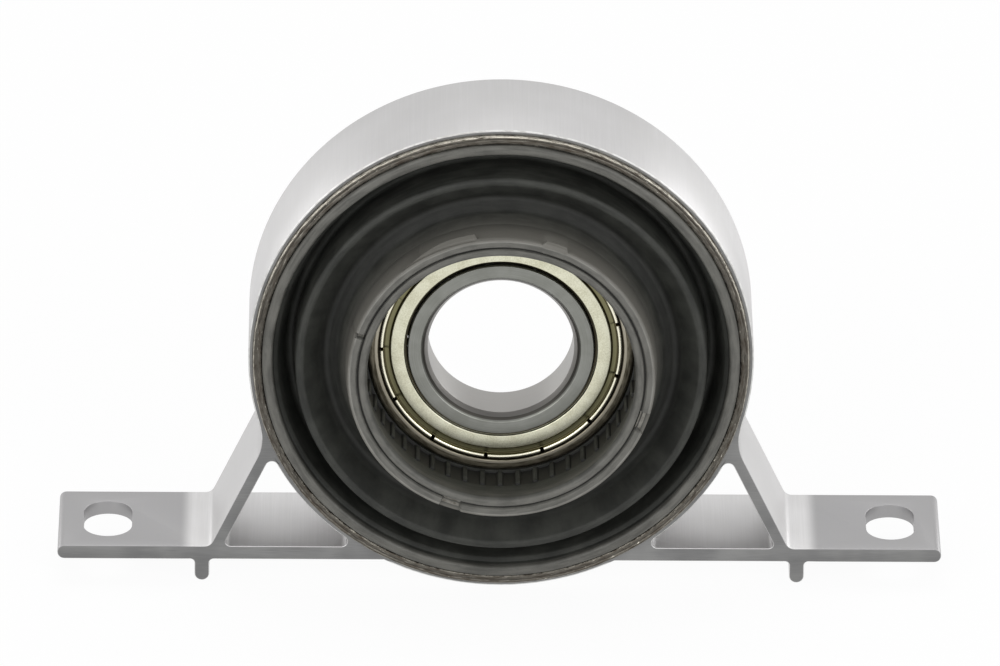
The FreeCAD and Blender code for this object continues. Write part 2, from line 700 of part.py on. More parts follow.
def shield(label, side):
    # pressed sheet: hem, flat, channel and a crimped edge with notches
    body = new_body(label)

    def at(word):
        return "-" + word if side < 0 else word

    sketch = new_sketch(body, "XY_Plane")
    outline(sketch, [
        ("shield_inner", at("hem_back")),
        ("hem_in", at("hem_back")),
        ("hem_in", at("flat_back")),
        ("flat_in_r", at("flat_back")),
        ("flat_outer", at("channel_back")),
        ("shield_outer", at("channel_back")),
        ("shield_outer", at("crimp_side")),
        ("crimp_mid", at("crimp_y")),
        ("crimp_in", at("crimp_side")),
        ("channel_outer", at("channel_y")),
        ("channel_start", at("channel_y")),
        ("flat_outer", at("flat_y")),
        ("shield_inner", at("flat_y")),
    ])
    turn(body, sketch)
    sketch = new_sketch(body, "XZ_Plane", "bearing_half" if side < 0 else "-bearing_half")
    outline(sketch, [
        ("-bearing_outer", "-notch_half"),
        ("-notch_in", "-notch_half"),
        ("-notch_in", "notch_half"),
        ("-bearing_outer", "notch_half"),
    ])
    notch = pocket(body, sketch, "notch_deep", label + "_notch")
    around(body, [notch], "notch_count")


shield("front_shield", -1)
shield("rear_shield", 1)


def cage(label, side):
    # one pressed ribbon: flat webs with a domed pocket over each ball
    body = new_body(label)

    def at(word):
        return "-" + word if side < 0 else word

    sketch = new_sketch(body, "XY_Plane")
    outline(sketch, [
        ("cage_inner", at("cage_gap")),
        ("cage_outer", at("cage_gap")),
        ("cage_outer", at("sheet_far")),
        ("cage_inner", at("sheet_far")),
    ])
    turn(body, sketch)
    ball_out = body.newObject("PartDesign::AdditiveSphere", label + "_dome")
    ball_out.setExpression("Radius", rule("pocket_out"))
    ball_out.AttachmentSupport = [(plane_of(body, "XY_Plane"), "")]
    ball_out.MapMode = "FlatFace"
    ball_out.setExpression("AttachmentOffset.Base.x", rule("pitch_radius"))
    doc.recompute()
    around(body, [ball_out], "ball_count")
    ball_in = body.newObject("PartDesign::SubtractiveSphere", label + "_pocket")
    ball_in.setExpression("Radius", rule("pocket_in"))
    ball_in.AttachmentSupport = [(plane_of(body, "XY_Plane"), "")]
    ball_in.MapMode = "FlatFace"
    ball_in.setExpression("AttachmentOffset.Base.x", rule("pitch_radius"))
    doc.recompute()
    around(body, [ball_in], "ball_count")
    sketch = new_sketch(body, "XY_Plane")
    outline(sketch, [
        ("cage_outer", "-bearing_half"),
        ("bearing_outer", "-bearing_half"),
        ("bearing_outer", "bearing_half"),
        ("cage_outer", "bearing_half"),
    ])
    turn(body, sketch, cut=True)
    sketch = new_sketch(body, "XY_Plane")
    outline(sketch, [
        ("bearing_bore", "-bearing_half"),
        ("cage_inner", "-bearing_half"),
        ("cage_inner", "bearing_half"),
        ("bearing_bore", "bearing_half"),
    ])
    turn(body, sketch, cut=True)
    other_half = "bearing_half" if side < 0 else "-bearing_half"
    sketch = new_sketch(body, "XY_Plane")
    outline(sketch, [
        ("bearing_bore", at("cage_gap")),
        ("bearing_outer", at("cage_gap")),
        ("bearing_outer", other_half),
        ("bearing_bore", other_half),
    ])
    turn(body, sketch, cut=True)
    sketch = new_sketch(body, "XZ_Plane")
    spot = FreeCAD.Vector(size("rivet_x"), size("rivet_z"), 0)
    circle = Part.Circle(spot, FreeCAD.Vector(0, 0, 1), size("rivet_hole"))
    index = sketch.addGeometry(circle)
    pin_point(sketch, index, 3, ("rivet_x", "rivet_z"))
    made = sketch.addConstraint(Sketcher.Constraint("Radius", index, size("rivet_hole")))
    sketch.setExpression("Constraints[%d]" % made, rule("rivet_hole"))
    hole = pocket(body, sketch, "bearing_half", label + "_rivet_hole")
    around(body, [hole], "ball_count")


cage("cage_front", -1)
cage("cage_rear", 1)


def rod(name, radius, long, low, angle):
    # a short cylinder along the shaft, on the ball circle
    item = doc.addObject("Part::Cylinder", name)
    item.setExpression("Radius", rule(radius))
    item.setExpression("Height", rule(long))
    item.Placement.Rotation = FreeCAD.Rotation(FreeCAD.Vector(1, 0, 0), -90)
    item.setExpression("Placement.Base.x", "Sizes.pitch_radius * cos(%s)" % angle)
    item.setExpression("Placement.Base.z", "Sizes.pitch_radius * sin(%s)" % angle)
    item.setExpression("Placement.Base.y", rule(low))
    return item


# Rivets and balls, as many of each
rivets = []
for k in range(int(size("ball_count"))):
    angle = "Sizes.ball_turn * (%d + 1 / 2)" % k
    shank = rod("shank_%02d" % (k + 1), "rivet_radius", "rivet_long", "-sheet_far", angle)
    head_a = rod("head_a_%02d" % (k + 1), "rivet_head", "rivet_head_high", "-rivet_end", angle)
    head_b = rod("head_b_%02d" % (k + 1), "rivet_head", "rivet_head_high", "sheet_far", angle)
    rivet = doc.addObject("Part::MultiFuse", "rivet_%02d" % (k + 1))
    rivet.Shapes = [shank, head_a, head_b]
    rivets.append(rivet)
group = doc.addObject("Part::Compound", "cage_rivets")
group.Label = "cage_rivets"
group.Links = rivets

for k in range(int(size("ball_count"))):
    angle = "Sizes.ball_turn * %d" % k
    ball = doc.addObject("Part::Sphere", "ball_%02d" % (k + 1))
    ball.Label = "ball_%02d" % (k + 1)
    ball.setExpression("Radius", rule("ball_radius"))
    ball.setExpression("Placement.Base.x", "Sizes.pitch_radius * cos(%s)" % angle)
    ball.setExpression("Placement.Base.z", "Sizes.pitch_radius * sin(%s)" % angle)

doc.recompute()

# Every object is sound before anything is written
for item in doc.Objects:
    if "Invalid" in item.State or "Error" in item.State:
        raise SystemExit("%s is not built: %s" % (item.Label, item.State))
parts = {}
for item in doc.Objects:
    if item.TypeId in ("PartDesign::Body", "Part::Sphere", "Part::Compound"):
        parts[item.Label] = item
for label, item in parts.items():
    shape = item.Shape
    if shape.isNull() or not shape.isValid() or not shape.Solids:
        raise SystemExit(label + " is not a sound solid")
for label, item in parts.items():
    item.Shape.exportStep("parts/" + label + ".step")
print(len(parts), "parts written")
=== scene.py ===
import json
import math
import random

import bmesh
import bpy
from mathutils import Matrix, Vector

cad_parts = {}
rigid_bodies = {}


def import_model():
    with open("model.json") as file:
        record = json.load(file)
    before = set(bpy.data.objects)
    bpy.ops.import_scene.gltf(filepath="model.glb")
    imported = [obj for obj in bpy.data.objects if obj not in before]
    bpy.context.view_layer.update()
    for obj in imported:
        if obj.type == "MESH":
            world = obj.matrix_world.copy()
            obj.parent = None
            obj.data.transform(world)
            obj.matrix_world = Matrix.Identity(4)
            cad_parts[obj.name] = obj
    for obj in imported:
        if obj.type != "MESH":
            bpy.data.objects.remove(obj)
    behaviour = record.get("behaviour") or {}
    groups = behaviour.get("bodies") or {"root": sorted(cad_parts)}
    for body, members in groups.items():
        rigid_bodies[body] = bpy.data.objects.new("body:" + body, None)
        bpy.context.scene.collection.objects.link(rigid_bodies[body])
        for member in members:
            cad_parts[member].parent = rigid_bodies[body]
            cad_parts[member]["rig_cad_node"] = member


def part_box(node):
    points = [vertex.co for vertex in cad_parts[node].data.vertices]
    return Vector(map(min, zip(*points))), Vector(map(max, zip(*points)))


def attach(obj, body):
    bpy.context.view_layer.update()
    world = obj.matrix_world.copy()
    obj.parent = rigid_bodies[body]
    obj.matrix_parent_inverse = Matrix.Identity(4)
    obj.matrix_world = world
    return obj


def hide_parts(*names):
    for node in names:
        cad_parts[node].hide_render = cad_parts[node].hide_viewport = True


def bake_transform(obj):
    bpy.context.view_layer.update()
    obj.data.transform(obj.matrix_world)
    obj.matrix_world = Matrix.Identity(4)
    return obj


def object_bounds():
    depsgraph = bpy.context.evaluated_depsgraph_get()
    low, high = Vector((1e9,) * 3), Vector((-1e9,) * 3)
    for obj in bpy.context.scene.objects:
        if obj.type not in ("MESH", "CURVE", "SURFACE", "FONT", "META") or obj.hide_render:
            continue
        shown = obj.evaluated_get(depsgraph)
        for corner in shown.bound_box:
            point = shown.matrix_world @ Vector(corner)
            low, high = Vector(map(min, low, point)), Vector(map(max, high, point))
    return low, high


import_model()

# Driveshaft centre bearing. The shaft runs along Y, the front faces -Y, up is Z.
# Outlines are (radius, depth, corner radius) in millimetres, depth counted along +Y.

cadLow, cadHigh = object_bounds()
mm = 0.001
fullTurn = 2 * math.pi
bracketLow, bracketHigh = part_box("bracket")
bracketFront = bracketLow.y / mm
bracketBack = bracketHigh.y / mm
ringOuter = -bracketLow.z / mm
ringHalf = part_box("bearing_outer_ring")[1].y / mm  # half the bearing's width
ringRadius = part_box("bearing_outer_ring")[1].z / mm
print("frame read")


# Maths for the shaders
class Signal:
    # one output of a shader node, so that maths on it reads as maths
    def __init__(self, nodes, socket):
        self.nodes = nodes
        self.socket = socket

    def maths(self, operation, first, second=0.0):
        return self.nodes.node("ShaderNodeMath", {"operation": operation}, {0: first, 1: second})

    def __add__(self, other):
        return self.maths("ADD", self, other)

    def __radd__(self, other):
        return self.maths("ADD", other, self)

    def __sub__(self, other):
        return self.maths("SUBTRACT", self, other)

    def __rsub__(self, other):
        return self.maths("SUBTRACT", other, self)

    def __mul__(self, other):
        return self.maths("MULTIPLY", self, other)

    def __rmul__(self, other):
        return self.maths("MULTIPLY", other, self)

    def __truediv__(self, other):
        return self.maths("DIVIDE", self, other)

    def __rtruediv__(self, other):
        return self.maths("DIVIDE", other, self)

    def __pow__(self, other):
        return self.maths("POWER", self, other)

    def __rpow__(self, other):
        return self.maths("POWER", other, self)

    def __abs__(self):
        return self.maths("ABSOLUTE", self)

    def orMore(self, other):
        return self.maths("MAXIMUM", self, other)


def paint(red, green, blue):
    # screen levels from 0 to 255 as the colour a shader wants
    levels = [level / 255 for level in (red, green, blue)]
    linear = [v / 12.92 if v <= 0.04045 else ((v + 0.055) / 1.055) ** 2.4 for v in levels]
    return (*linear, 1.0)


class Nodes:
    # one node tree: every node that this file adds comes from its node method
    def __init__(self, tree):
        self.tree = tree

    def node(self, kind, settings=None, sockets=None, out=0):
        made = self.tree.nodes.new(kind)
        for name, value in (settings or {}).items():
            setattr(made, name, value)
        for name, value in (sockets or {}).items():
            if isinstance(value, Signal):
                self.tree.links.new(value.socket, made.inputs[name])
            else:
                made.inputs[name].default_value = value
        if isinstance(out, tuple):
            return [Signal(self, made.outputs[one]) for one in out]
        return Signal(self, made.outputs[out])

    def mix(self, mask, low, high):
        return self.node(
            "ShaderNodeMix", {"data_type": "RGBA"}, {0: mask, 6: low, 7: high}, out=2)

    def step(self, value, start, stop):
        # 0 before start, 1 after stop
        return self.node(
            "ShaderNodeMapRange", {"interpolation_type": "SMOOTHSTEP"},
            {"Value": value, "From Min": start, "From Max": stop})

    def band(self, value, start, stop, soft):
        # 1 between start and stop, fading over soft on both sides
        return self.step(value, start - soft, start) * (1 - self.step(value, stop, stop + soft))

    def link(self, signal, node, name):
        self.tree.links.new(signal.socket, self.tree.nodes[node].inputs[name])


class Finish(Nodes):
    # one material: its look, its nodes, and the principled shader that they feed
    def __init__(self, name, look, **plain):
        self.look = look
        self.material = bpy.data.materials.new(name)
        self.material.use_nodes = True
        super().__init__(self.material.node_tree)
        for words, value in plain.items():
            shader = self.tree.nodes["Principled BSDF"]
            shader.inputs[words.replace("_", " ")].default_value = value
        place = self.node("ShaderNodeTexCoord", out="Object")
        self.spot = self.node(
            "ShaderNodeVectorMath", {"operation": "SCALE"}, {"Vector": place, "Scale": 1 / mm})
        self.x, self.y, self.z = self.node(
            "ShaderNodeSeparateXYZ", {}, {"Vector": self.spot}, out=("X", "Y", "Z"))

    def noise(self, where, scale, detail=3.0, roughness=0.55):
        return self.node("ShaderNodeTexNoise", {}, {
            "Vector": where, "Scale": scale, "Detail": detail, "Roughness": roughness})

    def stretch(self, x, y, z):
        # the place in millimetres, scaled by a different amount each way
        return self.node(
            "ShaderNodeVectorMath", {"operation": "MULTIPLY"}, {0: self.spot, 1: (x, y, z)})

    def round(self, turnScale, radiusScale, depthScale):
        # a place that runs round the shaft without a seam, for streaks and turned marks
        radius = self.radius()
        east = self.x / radius * turnScale
        north = self.z / radius * turnScale
        third = radius * radiusScale + self.y * depthScale
        return self.node("ShaderNodeCombineXYZ", {}, {"X": east, "Y": north, "Z": third})

    def radius(self):
        return (self.x * self.x + self.z * self.z) ** 0.5

    def after(self, value, span):
        # 0 before one of the look's spans, 1 after it
        return self.step(value, *self.look[span])

    def inside(self, value, span):
        # 1 inside one of the look's bands
        return self.band(value, *self.look[span])

    def shades(self, value):
        # starts the colour, from the look's darker one to its paler one
        self.colour = self.mix(self.after(value, "tone"), self.look["dark"], self.look["pale"])

    def cover(self, mask, name):
        # lays another of the look's colours over it
        self.colour = self.mix(mask, self.colour, self.look[name])

    def done(self, rough, height=None):
        # feeds the colour, the look's roughness with what varies it, and the relief
        self.link(self.colour, "Principled BSDF", "Base Color")
        self.link(self.look["roughness"] + rough, "Principled BSDF", "Roughness")
        if height is not None:
            relief = self.node("ShaderNodeBump", {}, {
                "Height": height, "Distance": self.look["relief"] * mm, "Strength": 1.0})
            self.link(relief, "Principled BSDF", "Normal")
        return self.material


# Finishes. tone is the span of noise over which the dark colour turns to the pale one, and
# relief the depth of the bump in millimetres. Other pairs are noise levels, or places on the
# part in millimetres; a band's third number is how far it fades on both sides.
skinLook = {
    # The tabs' colour is a painted shade and the foot's paler colour a painted light
    "ring": paint(195, 194, 194), "strut": paint(186, 185, 185), "tab": paint(160, 159, 160),
    "paintedLightPan": paint(212, 211, 211), "shade": paint(160, 159, 157), "stain": paint(166, 164, 160),
    "roughness": 0.4, "tone": (0.36, 0.68), "mottle": 0.24, "relief": 0.008,
    "stains": (0.7, 0.82), "stained": 0.35,
    "ringEnds": (52.3, 52.7), "footEnds": (-42.8, -42.0), "tabStarts": (63.0, 66.0),
}


def drawnSkin():
    # outside of the extrusion: very fine die lines along the shaft, faint clouds; a painted light
    # makes the foot paler and a painted shade makes the tabs darker
    look = skinLook
    finish = Finish("drawnSkin", look, Metallic=1.0)
    lines = finish.noise(finish.stretch(3.5, 0.05, 3.5), 1.0, 4.0)
    clouds = finish.noise(finish.spot, 0.05, 3.0)
    grain = finish.noise(finish.spot, 5.0, 2.0)
    outside = finish.after(finish.radius(), "ringEnds")
    onFoot = 1 - finish.after(finish.z, "footEnds")
    tabShadeMask = onFoot * finish.after(abs(finish.x), "tabStarts")
    tone = finish.after(clouds * 0.45 + lines * 0.35 + grain * 0.2, "tone")
    stains = finish.after(finish.noise(finish.spot, 0.9, 4.0, 0.7), "stains")
    finish.colour = finish.mix(outside, look["ring"], look["strut"])
    # painted light: everything below the foot's top paler; painted shade: the tabs darker
    finish.cover(onFoot, "paintedLightPan")
    finish.cover(tabShadeMask, "tab")
    finish.cover((1 - tone) * look["mottle"], "shade")
    finish.cover(stains * look["stained"], "stain")
    return finish.done(lines * 0.06 + grain * 0.06, lines * 0.6 + grain * 0.5)


edgeHighlightLook = {
    "pale": paint(214, 214, 212), "dark": paint(194, 193, 190),
    "roughness": 0.3, "tone": (0.36, 0.6), "relief": 0.01,
}


def highlightedEdge():
    # the rounded edges of the extrusion, in a paler colour that is a painted highlight
    finish = Finish("highlightedEdge", edgeHighlightLook, Metallic=1.0)
    edgeMottle = finish.noise(finish.round(30.0, 1.0, 0.6), 1.0, 3.0)
    finish.shades(edgeMottle)
    return finish.done(edgeMottle * 0.12, edgeMottle)


sawnLook = {
    "pale": paint(134, 134, 133), "dark": paint(114, 114, 114),
    "roughness": 0.46, "tone": (0.34, 0.66), "relief": 0.006,
}


def sawnFace():
    # ends of the extrusion: straight, very fine saw lines, darker than the skin
    finish = Finish("sawnFace", sawnLook, Metallic=1.0)
    lines = finish.noise(finish.stretch(0.2, 1.0, 9.0), 1.0, 3.0)
    clouds = finish.noise(finish.spot, 0.09, 2.0)
    finish.shades(lines * 0.4 + clouds * 0.6)
    return finish.done(lines * 0.1, lines)


rimLook = {
    "dark": paint(62, 56, 49), "pale": paint(104, 101, 94), "bright": paint(206, 201, 188),
    "glue": paint(40, 37, 33), "roughness": 0.36, "tone": (0.38, 0.6), "relief": 0.07,
    "glueTone": (0.52, 0.62), "edgeHighlightTone": (0.42, 0.54), "chipTone": (0.6, 0.66),
    "outerEdge": (50.55, 50.71), "innerEdge": (49.18, 49.3),
}


def curledSteel():
    # the rolled rim: smeared lacquer, scratches that run round it, small bright chips, and painted
    # highlights, broken by the scratches, along its outer and inner edges
    finish = Finish("curledSteel", rimLook, Metallic=0.9)
    radius = finish.radius()
    streaks = finish.noise(finish.round(18.0, 2.6, 1.8), 1.0, 5.0, 0.7)
    patches = finish.noise(finish.round(9.0, 1.1, 0.8), 1.0, 4.0, 0.65)
    fine = finish.noise(finish.round(60.0, 6.0, 6.0), 1.0, 3.0, 0.7)
    scratches = streaks * 0.5 + fine * 0.5
    outer = finish.after(radius, "outerEdge")
    inner = 1 - finish.after(radius, "innerEdge")
    chips = finish.after(scratches, "chipTone")
    finish.shades(streaks * 0.6 + patches * 0.3 + fine * 0.1)
    finish.cover(finish.after(patches * 0.6 + streaks * 0.4, "glueTone") * 0.75, "glue")
    # painted highlight along the rim's outer and inner edges
    finish.cover((outer * 0.9 + inner * 0.5) * finish.after(scratches, "edgeHighlightTone"), "bright")
    finish.cover(chips, "bright")
    return finish.done(patches * 0.22 - chips * 0.12, streaks * 0.7 + fine * 0.4)


tubeLook = {
    "pale": paint(132, 130, 124), "dark": paint(92, 89, 82),
    "roughness": 0.4, "tone": (0.36, 0.64), "relief": 0.02,
}


def rolledTube():
    # the plain steel of the two sleeves, with phosphate mottling
    finish = Finish("rolledTube", tubeLook, Metallic=1.0)
    mottle = finish.noise(finish.spot, 0.8, 4.0, 0.65)
    streaks = finish.noise(finish.round(10.0, 1.0, 3.0), 1.0, 3.0)
    finish.shades(mottle * 0.6 + streaks * 0.4)
    return finish.done(mottle * 0.15, mottle)


rubberLook = {
    # lip and bead are a painted sheen, edge a painted highlight, wall a painted light and the
    # darkest colour a painted shade
    "dark": paint(31, 32, 29), "pale": paint(52, 53, 49), "paintedShade": paint(17, 17, 15),
    "lip": paint(101, 100, 95), "bead": paint(99, 98, 93), "edge": paint(146, 145, 140),
    "wall": paint(96, 94, 88), "dust": paint(104, 103, 98),
    "roughness": 0.54, "tone": (0.36, 0.66), "sheenPatches": (0.36, 0.62), "dusty": (0.62, 0.8),
    "relief": 0.04,
    # Front spans are how far a place stands in front of the bearing's middle
    "lipFront": (14.0, 19.6), "lipTop": (19.35, 19.75),
    "lipInner": (27.2, 27.6), "lipOuter": (31.8, 33.0),
    "beadStarts": (46.5, 46.9), "beadFront": (10.6, 11.6),
    "highlightBand": (31.02, 31.9, 0.25), "highlightFront": (19.0, 19.5),
    "grooveBand": (29.28, 29.5, 0.1), "grooveFront": (18.6, 19.0),
    "ribBand": (27.78, 28.6, 0.1), "ribFront": (6.4, 12.4, 0.5),
    "wallBand": (31.3, 33.0, 0.5), "wallFront": (9.0, 18.0), "valleyBand": (33.8, 36.6, 0.9),
}


def mouldedRubber():
    # black rubber, smoother on the lip and bead, where a painted sheen makes it paler; a painted
    # highlight on the lip's edge, painted shade in its groove, between the ribs and in the web's
    # valley, and painted light on the collar's outer wall
    finish = Finish("mouldedRubber", rubberLook, Specular_IOR_Level=0.32)
    radius = finish.radius()
    front = finish.y * -1
    clouds = finish.noise(finish.spot, 0.16, 4.0, 0.6)
    fine = finish.noise(finish.spot, 3.5, 3.0, 0.6)
    swirl = finish.noise(finish.round(6.0, 1.2, 0.9), 1.0, 4.0, 0.6)
    sheenPatches = finish.after(swirl * 0.6 + fine * 0.15 + clouds * 0.25, "sheenPatches")
    lip = finish.after(front, "lipFront") * 0.55 + finish.after(front, "lipTop") * 0.45
    lip = lip * finish.after(radius, "lipInner") * (1 - finish.after(radius, "lipOuter") * 0.75)
    bead = finish.after(radius, "beadStarts") * finish.after(front, "beadFront")
    edge = finish.inside(radius, "highlightBand") * finish.after(front, "highlightFront")
    groove = finish.inside(radius, "grooveBand") * finish.after(front, "grooveFront")
    betweenRibs = finish.inside(radius, "ribBand") * finish.inside(front, "ribFront")
    wall = finish.inside(radius, "wallBand") * finish.after(front, "wallFront")
    dust = finish.after(finish.noise(finish.spot, 1.7, 5.0, 0.75), "dusty")
    finish.shades(clouds * 0.5 + swirl * 0.5)
    # painted sheen: the lip and bead paler, in patches
    finish.cover(lip * (0.55 + 0.4 * sheenPatches), "lip")
    finish.cover(bead * (0.45 + 0.5 * sheenPatches), "bead")
    # painted highlight along the lip's outer edge
    finish.cover(edge * (0.3 + 0.5 * sheenPatches), "edge")
    # painted shade in the lip's groove and between the ribs
    finish.cover((groove + betweenRibs) * 0.9, "paintedShade")
    # painted light on the collar's outer wall, paler towards the lip
    finish.cover(wall * 0.8, "wall")
    # painted shade in the web's valley
    finish.cover(finish.inside(radius, "valleyBand") * 0.5, "paintedShade")
    finish.cover(dust * 0.2, "dust")
    return finish.done(fine * 0.12 - (lip + bead) * 0.16, fine * 0.5 + swirl * 0.5)


groundLook = {
    "pale": paint(142, 143, 138), "dark": paint(126, 127, 121), "bore": paint(154, 152, 149),
    "chamfer": paint(86, 84, 80), "roughness": 0.3, "tone": (0.34, 0.66), "relief": 0.008,
    "chamferEnds": (16.12, 16.2), "boreEnds": (15.66, 15.72),
}


def groundSteel():
    # inner ring: flat faces with round grinding marks, a honed and brighter bore
    finish = Finish("groundSteel", groundLook, Metallic=1.0)
    radius = finish.radius()
    marks = finish.noise(finish.round(1.5, 9.0, 9.0), 1.0, 3.0, 0.6)
    clouds = finish.noise(finish.spot, 0.25, 3.0)
    finish.shades(marks * 0.5 + clouds * 0.5)
    finish.cover(1 - finish.after(radius, "chamferEnds"), "chamfer")
    finish.cover(1 - finish.after(radius, "boreEnds"), "bore")
    return finish.done(marks * 0.14 + clouds * 0.05, marks)


ringLook = {
    # edge is a painted highlight and the gap's colour a painted shade
    "pale": paint(138, 132, 116), "dark": paint(84, 79, 66), "edge": paint(176, 170, 154),
    "gapShade": paint(66, 61, 50), "roughness": 0.32, "tone": (0.38, 0.62), "relief": 0.008,
    "highlightBand": (25.4, 25.8, 0.1), "gapEnds": (25.17, 25.24),
}


def outerRingSteel():
    # the outer ring: oiled, a little yellow, with rubber smears on its corner, a painted highlight
    # by the shield's seat and painted shade down in the seat
    finish = Finish("outerRingSteel", ringLook, Metallic=1.0)
    radius = finish.radius()
    smears = finish.noise(finish.round(8.0, 1.6, 1.2), 1.0, 4.0, 0.65)
    marks = finish.noise(finish.round(1.5, 8.0, 8.0), 1.0, 2.0)
    finish.shades(smears * 0.7 + marks * 0.3)
    # painted highlight on the corner by the shield's seat
    finish.cover(finish.inside(radius, "highlightBand"), "edge")
    # painted shade down in the shield's seat
    finish.cover(1 - finish.after(radius, "gapEnds"), "gapShade")
    return finish.done(smears * 0.16, marks)


shieldLook = {
    # channel, line and hem are painted shade, crimp a painted highlight
    "pale": paint(226, 225, 203), "dark": paint(198, 196, 171), "channel": paint(122, 119, 90),
    "line": paint(66, 60, 42), "crimp": paint(244, 240, 218), "hem": paint(60, 56, 44),
    "roughness": 0.26, "tone": (0.36, 0.62), "relief": 0.02,
    "channelStarts": (22.5, 22.7), "innerLine": (22.72, 22.96, 0.06),
    "outerLine": (23.78, 23.98, 0.08), "crimpStarts": (24.06, 24.16),
    "crimpTop": (5.9, 6.15), "hemEnds": (19.66, 19.78),
}


def platedShield():
    # zinc plate with a faint yellow passivation and a pressed grain; painted shade in the channel,
    # along its creases, in the crimp's notches and on the inner hem, and a painted highlight on the
    # crimp
    look = shieldLook
    finish = Finish("platedShield", look, Metallic=1.0)
    radius = finish.radius()
    grain = finish.noise(finish.spot, 3.2, 4.0, 0.75)
    clouds = finish.noise(finish.spot, 0.3, 3.0)
    lines = finish.inside(radius, "innerLine") + finish.inside(radius, "outerLine")
    crimp = finish.after(radius, "crimpStarts")
    raised = finish.after(abs(finish.y), "crimpTop")
    finish.shades(grain * 0.65 + clouds * 0.35)
    # painted shade in the channel
    finish.cover(finish.after(radius, "channelStarts"), "channel")
    # painted shade along the channel's creases
    finish.cover(lines * 0.85, "line")
    # painted highlight on the crimp, painted shade in its notches
    finish.colour = finish.mix(
        crimp, finish.colour, finish.mix(raised, look["line"], look["crimp"]))
    # painted shade on the inner hem, by the gap to the inner ring
    finish.cover(1 - finish.after(radius, "hemEnds"), "hem")
    return finish.done(grain * 0.12 - crimp * 0.12, grain)


cageLook = {
    "pale": paint(170, 160, 140), "dark": paint(120, 112, 98),
    "roughness": 0.35, "tone": (0.36, 0.64), "relief": 0.01,
}
ballLook = {
    "pale": paint(215, 215, 216), "dark": paint(190, 190, 192),
    "roughness": 0.08, "tone": (0.36, 0.64),
}


def pressedStrip():
    # the ball cage and its rivets, under a film of grease
    finish = Finish("pressedStrip", cageLook, Metallic=1.0)
    film = finish.noise(finish.spot, 0.9, 4.0, 0.6)
    finish.shades(film)
    return finish.done(film * 0.2, film)


def polishedBall():
    finish = Finish("polishedBall", ballLook, Metallic=1.0)
    film = finish.noise(finish.spot, 0.7, 3.0)
    finish.shades(film)
    return finish.done(film * 0.08)


skin = drawnSkin()
edgeHighlight = highlightedEdge()
sawn = sawnFace()
curled = curledSteel()
tube = rolledTube()
rubber = mouldedRubber()
ground = groundSteel()
outerSteel = outerRingSteel()
plated = platedShield()
strip = pressedStrip()
ballSteel = polishedBall()
print("finishes made")


# Mesh helpers
def softened(corners, finest=12.0):
    # rounds each corner (radius, depth, rounding) of a closed outline
    points = []
    count = len(corners)
    for index, (across, along, rounding) in enumerate(corners):
        here = Vector((across, along))
        back = Vector(corners[index - 1][:2]) - here
        ahead = Vector(corners[(index + 1) % count][:2]) - here
        if rounding <= 0 or back.length < 1e-6 or ahead.length < 1e-6:
            points.append(here)
            continue
        half = back.angle(ahead) / 2
        if half > math.radians(88):
            points.append(here)
            continue
        reach = min(rounding / math.tan(half), back.length * 0.49, ahead.length * 0.49)
        rounding = reach * math.tan(half)
        first = here + back.normalized() * reach
        last = here + ahead.normalized() * reach
        centre = here + (back.normalized() + ahead.normalized()).normalized() * (
            rounding / math.sin(half))
        sweep = math.pi - 2 * half
        steps = max(2, math.ceil(math.degrees(sweep) / finest))
        spoke, final = first - centre, last - centre
        way = 1 if spoke.x * final.y - spoke.y * final.x > 0 else -1
        for step in range(steps + 1):
            angle = way * sweep * step / steps
            turned = Vector((
                spoke.x * math.cos(angle) - spoke.y * math.sin(angle),
                spoke.x * math.sin(angle) + spoke.y * math.cos(angle)))
            points.append(centre + turned)
    return points


def placed(corners, datum):
    # an outline whose depths are counted from a datum along the shaft
    return [(across, datum + along, rounding) for across, along, rounding in corners]


def mirrored(corners):
    # an outline and its reflection on the other side of the bearing's middle
    return corners + [(across, -along, rounding) for across, along, rounding in reversed(corners)]


def looseObject(name, data):
    item = bpy.data.objects.new(name, data)
    bpy.context.scene.collection.objects.link(item)
    return item


def settle(name, mesh, finishes, sharp):
    # one object at the frame's origin, smooth except at its sharp edges
    item = looseObject(name, mesh)
    for finish in finishes:
        mesh.materials.append(finish)
    mesh.polygons.foreach_set("use_smooth", [True] * len(mesh.polygons))
    mesh.set_sharp_from_angle(angle=math.radians(sharp))
    return item


def spin(points, steps, shape=None, start=0.0, sweep=fullTurn, closed=True):
    # turns an outline round the shaft's axis; shape(radius, depth, angle) may move a point
    whole = sweep > fullTurn - 1e-6
    rings = steps if whole else steps + 1
    verts = []
    for turn in range(rings):
        angle = start + sweep * turn / steps
        for across, along in points:
            if shape:
                across, along = shape(across, along, angle)
            verts.append((
                across * mm * math.cos(angle), along * mm, across * mm * math.sin(angle)))
    faces = []
    count = len(points)
    for turn in range(steps):
        here, after = turn * count, ((turn + 1) % rings) * count
        for index in range(count if closed else count - 1):
            following = (index + 1) % count
            faces.append((here + index, after + index, after + following, here + following))
    return verts, faces


def meshOf(name, verts, faces):
    mesh = bpy.data.meshes.new(name)
    mesh.from_pydata(verts, [], faces)
    work = bmesh.new()
    work.from_mesh(mesh)
    bmesh.ops.recalc_face_normals(work, faces=work.faces)
    work.to_mesh(mesh)
    work.free()
    return mesh


def angleGap(angle, middle):
    # shortest way round from one angle to another, both in degrees
    return abs((math.degrees(angle) - middle + 180) % 360 - 180)


def ease(value, start, stop):
    portion = min(1.0, max(0.0, (value - start) / (stop - start)))
    return portion * portion * (3 - 2 * portion)


def wander(seed, waves, lowest, highest):
    # a smooth wobble round the shaft that closes on itself
    dice = random.Random(seed)
    parts = [(dice.randint(lowest, highest), dice.uniform(0, fullTurn), dice.uniform(0.4, 1.0))
             for each in range(waves)]
    total = sum(part[2] for part in parts)

    def at(angle):
        return sum(size * math.sin(times * angle + phase) for times, phase, size in parts) / total
    return at


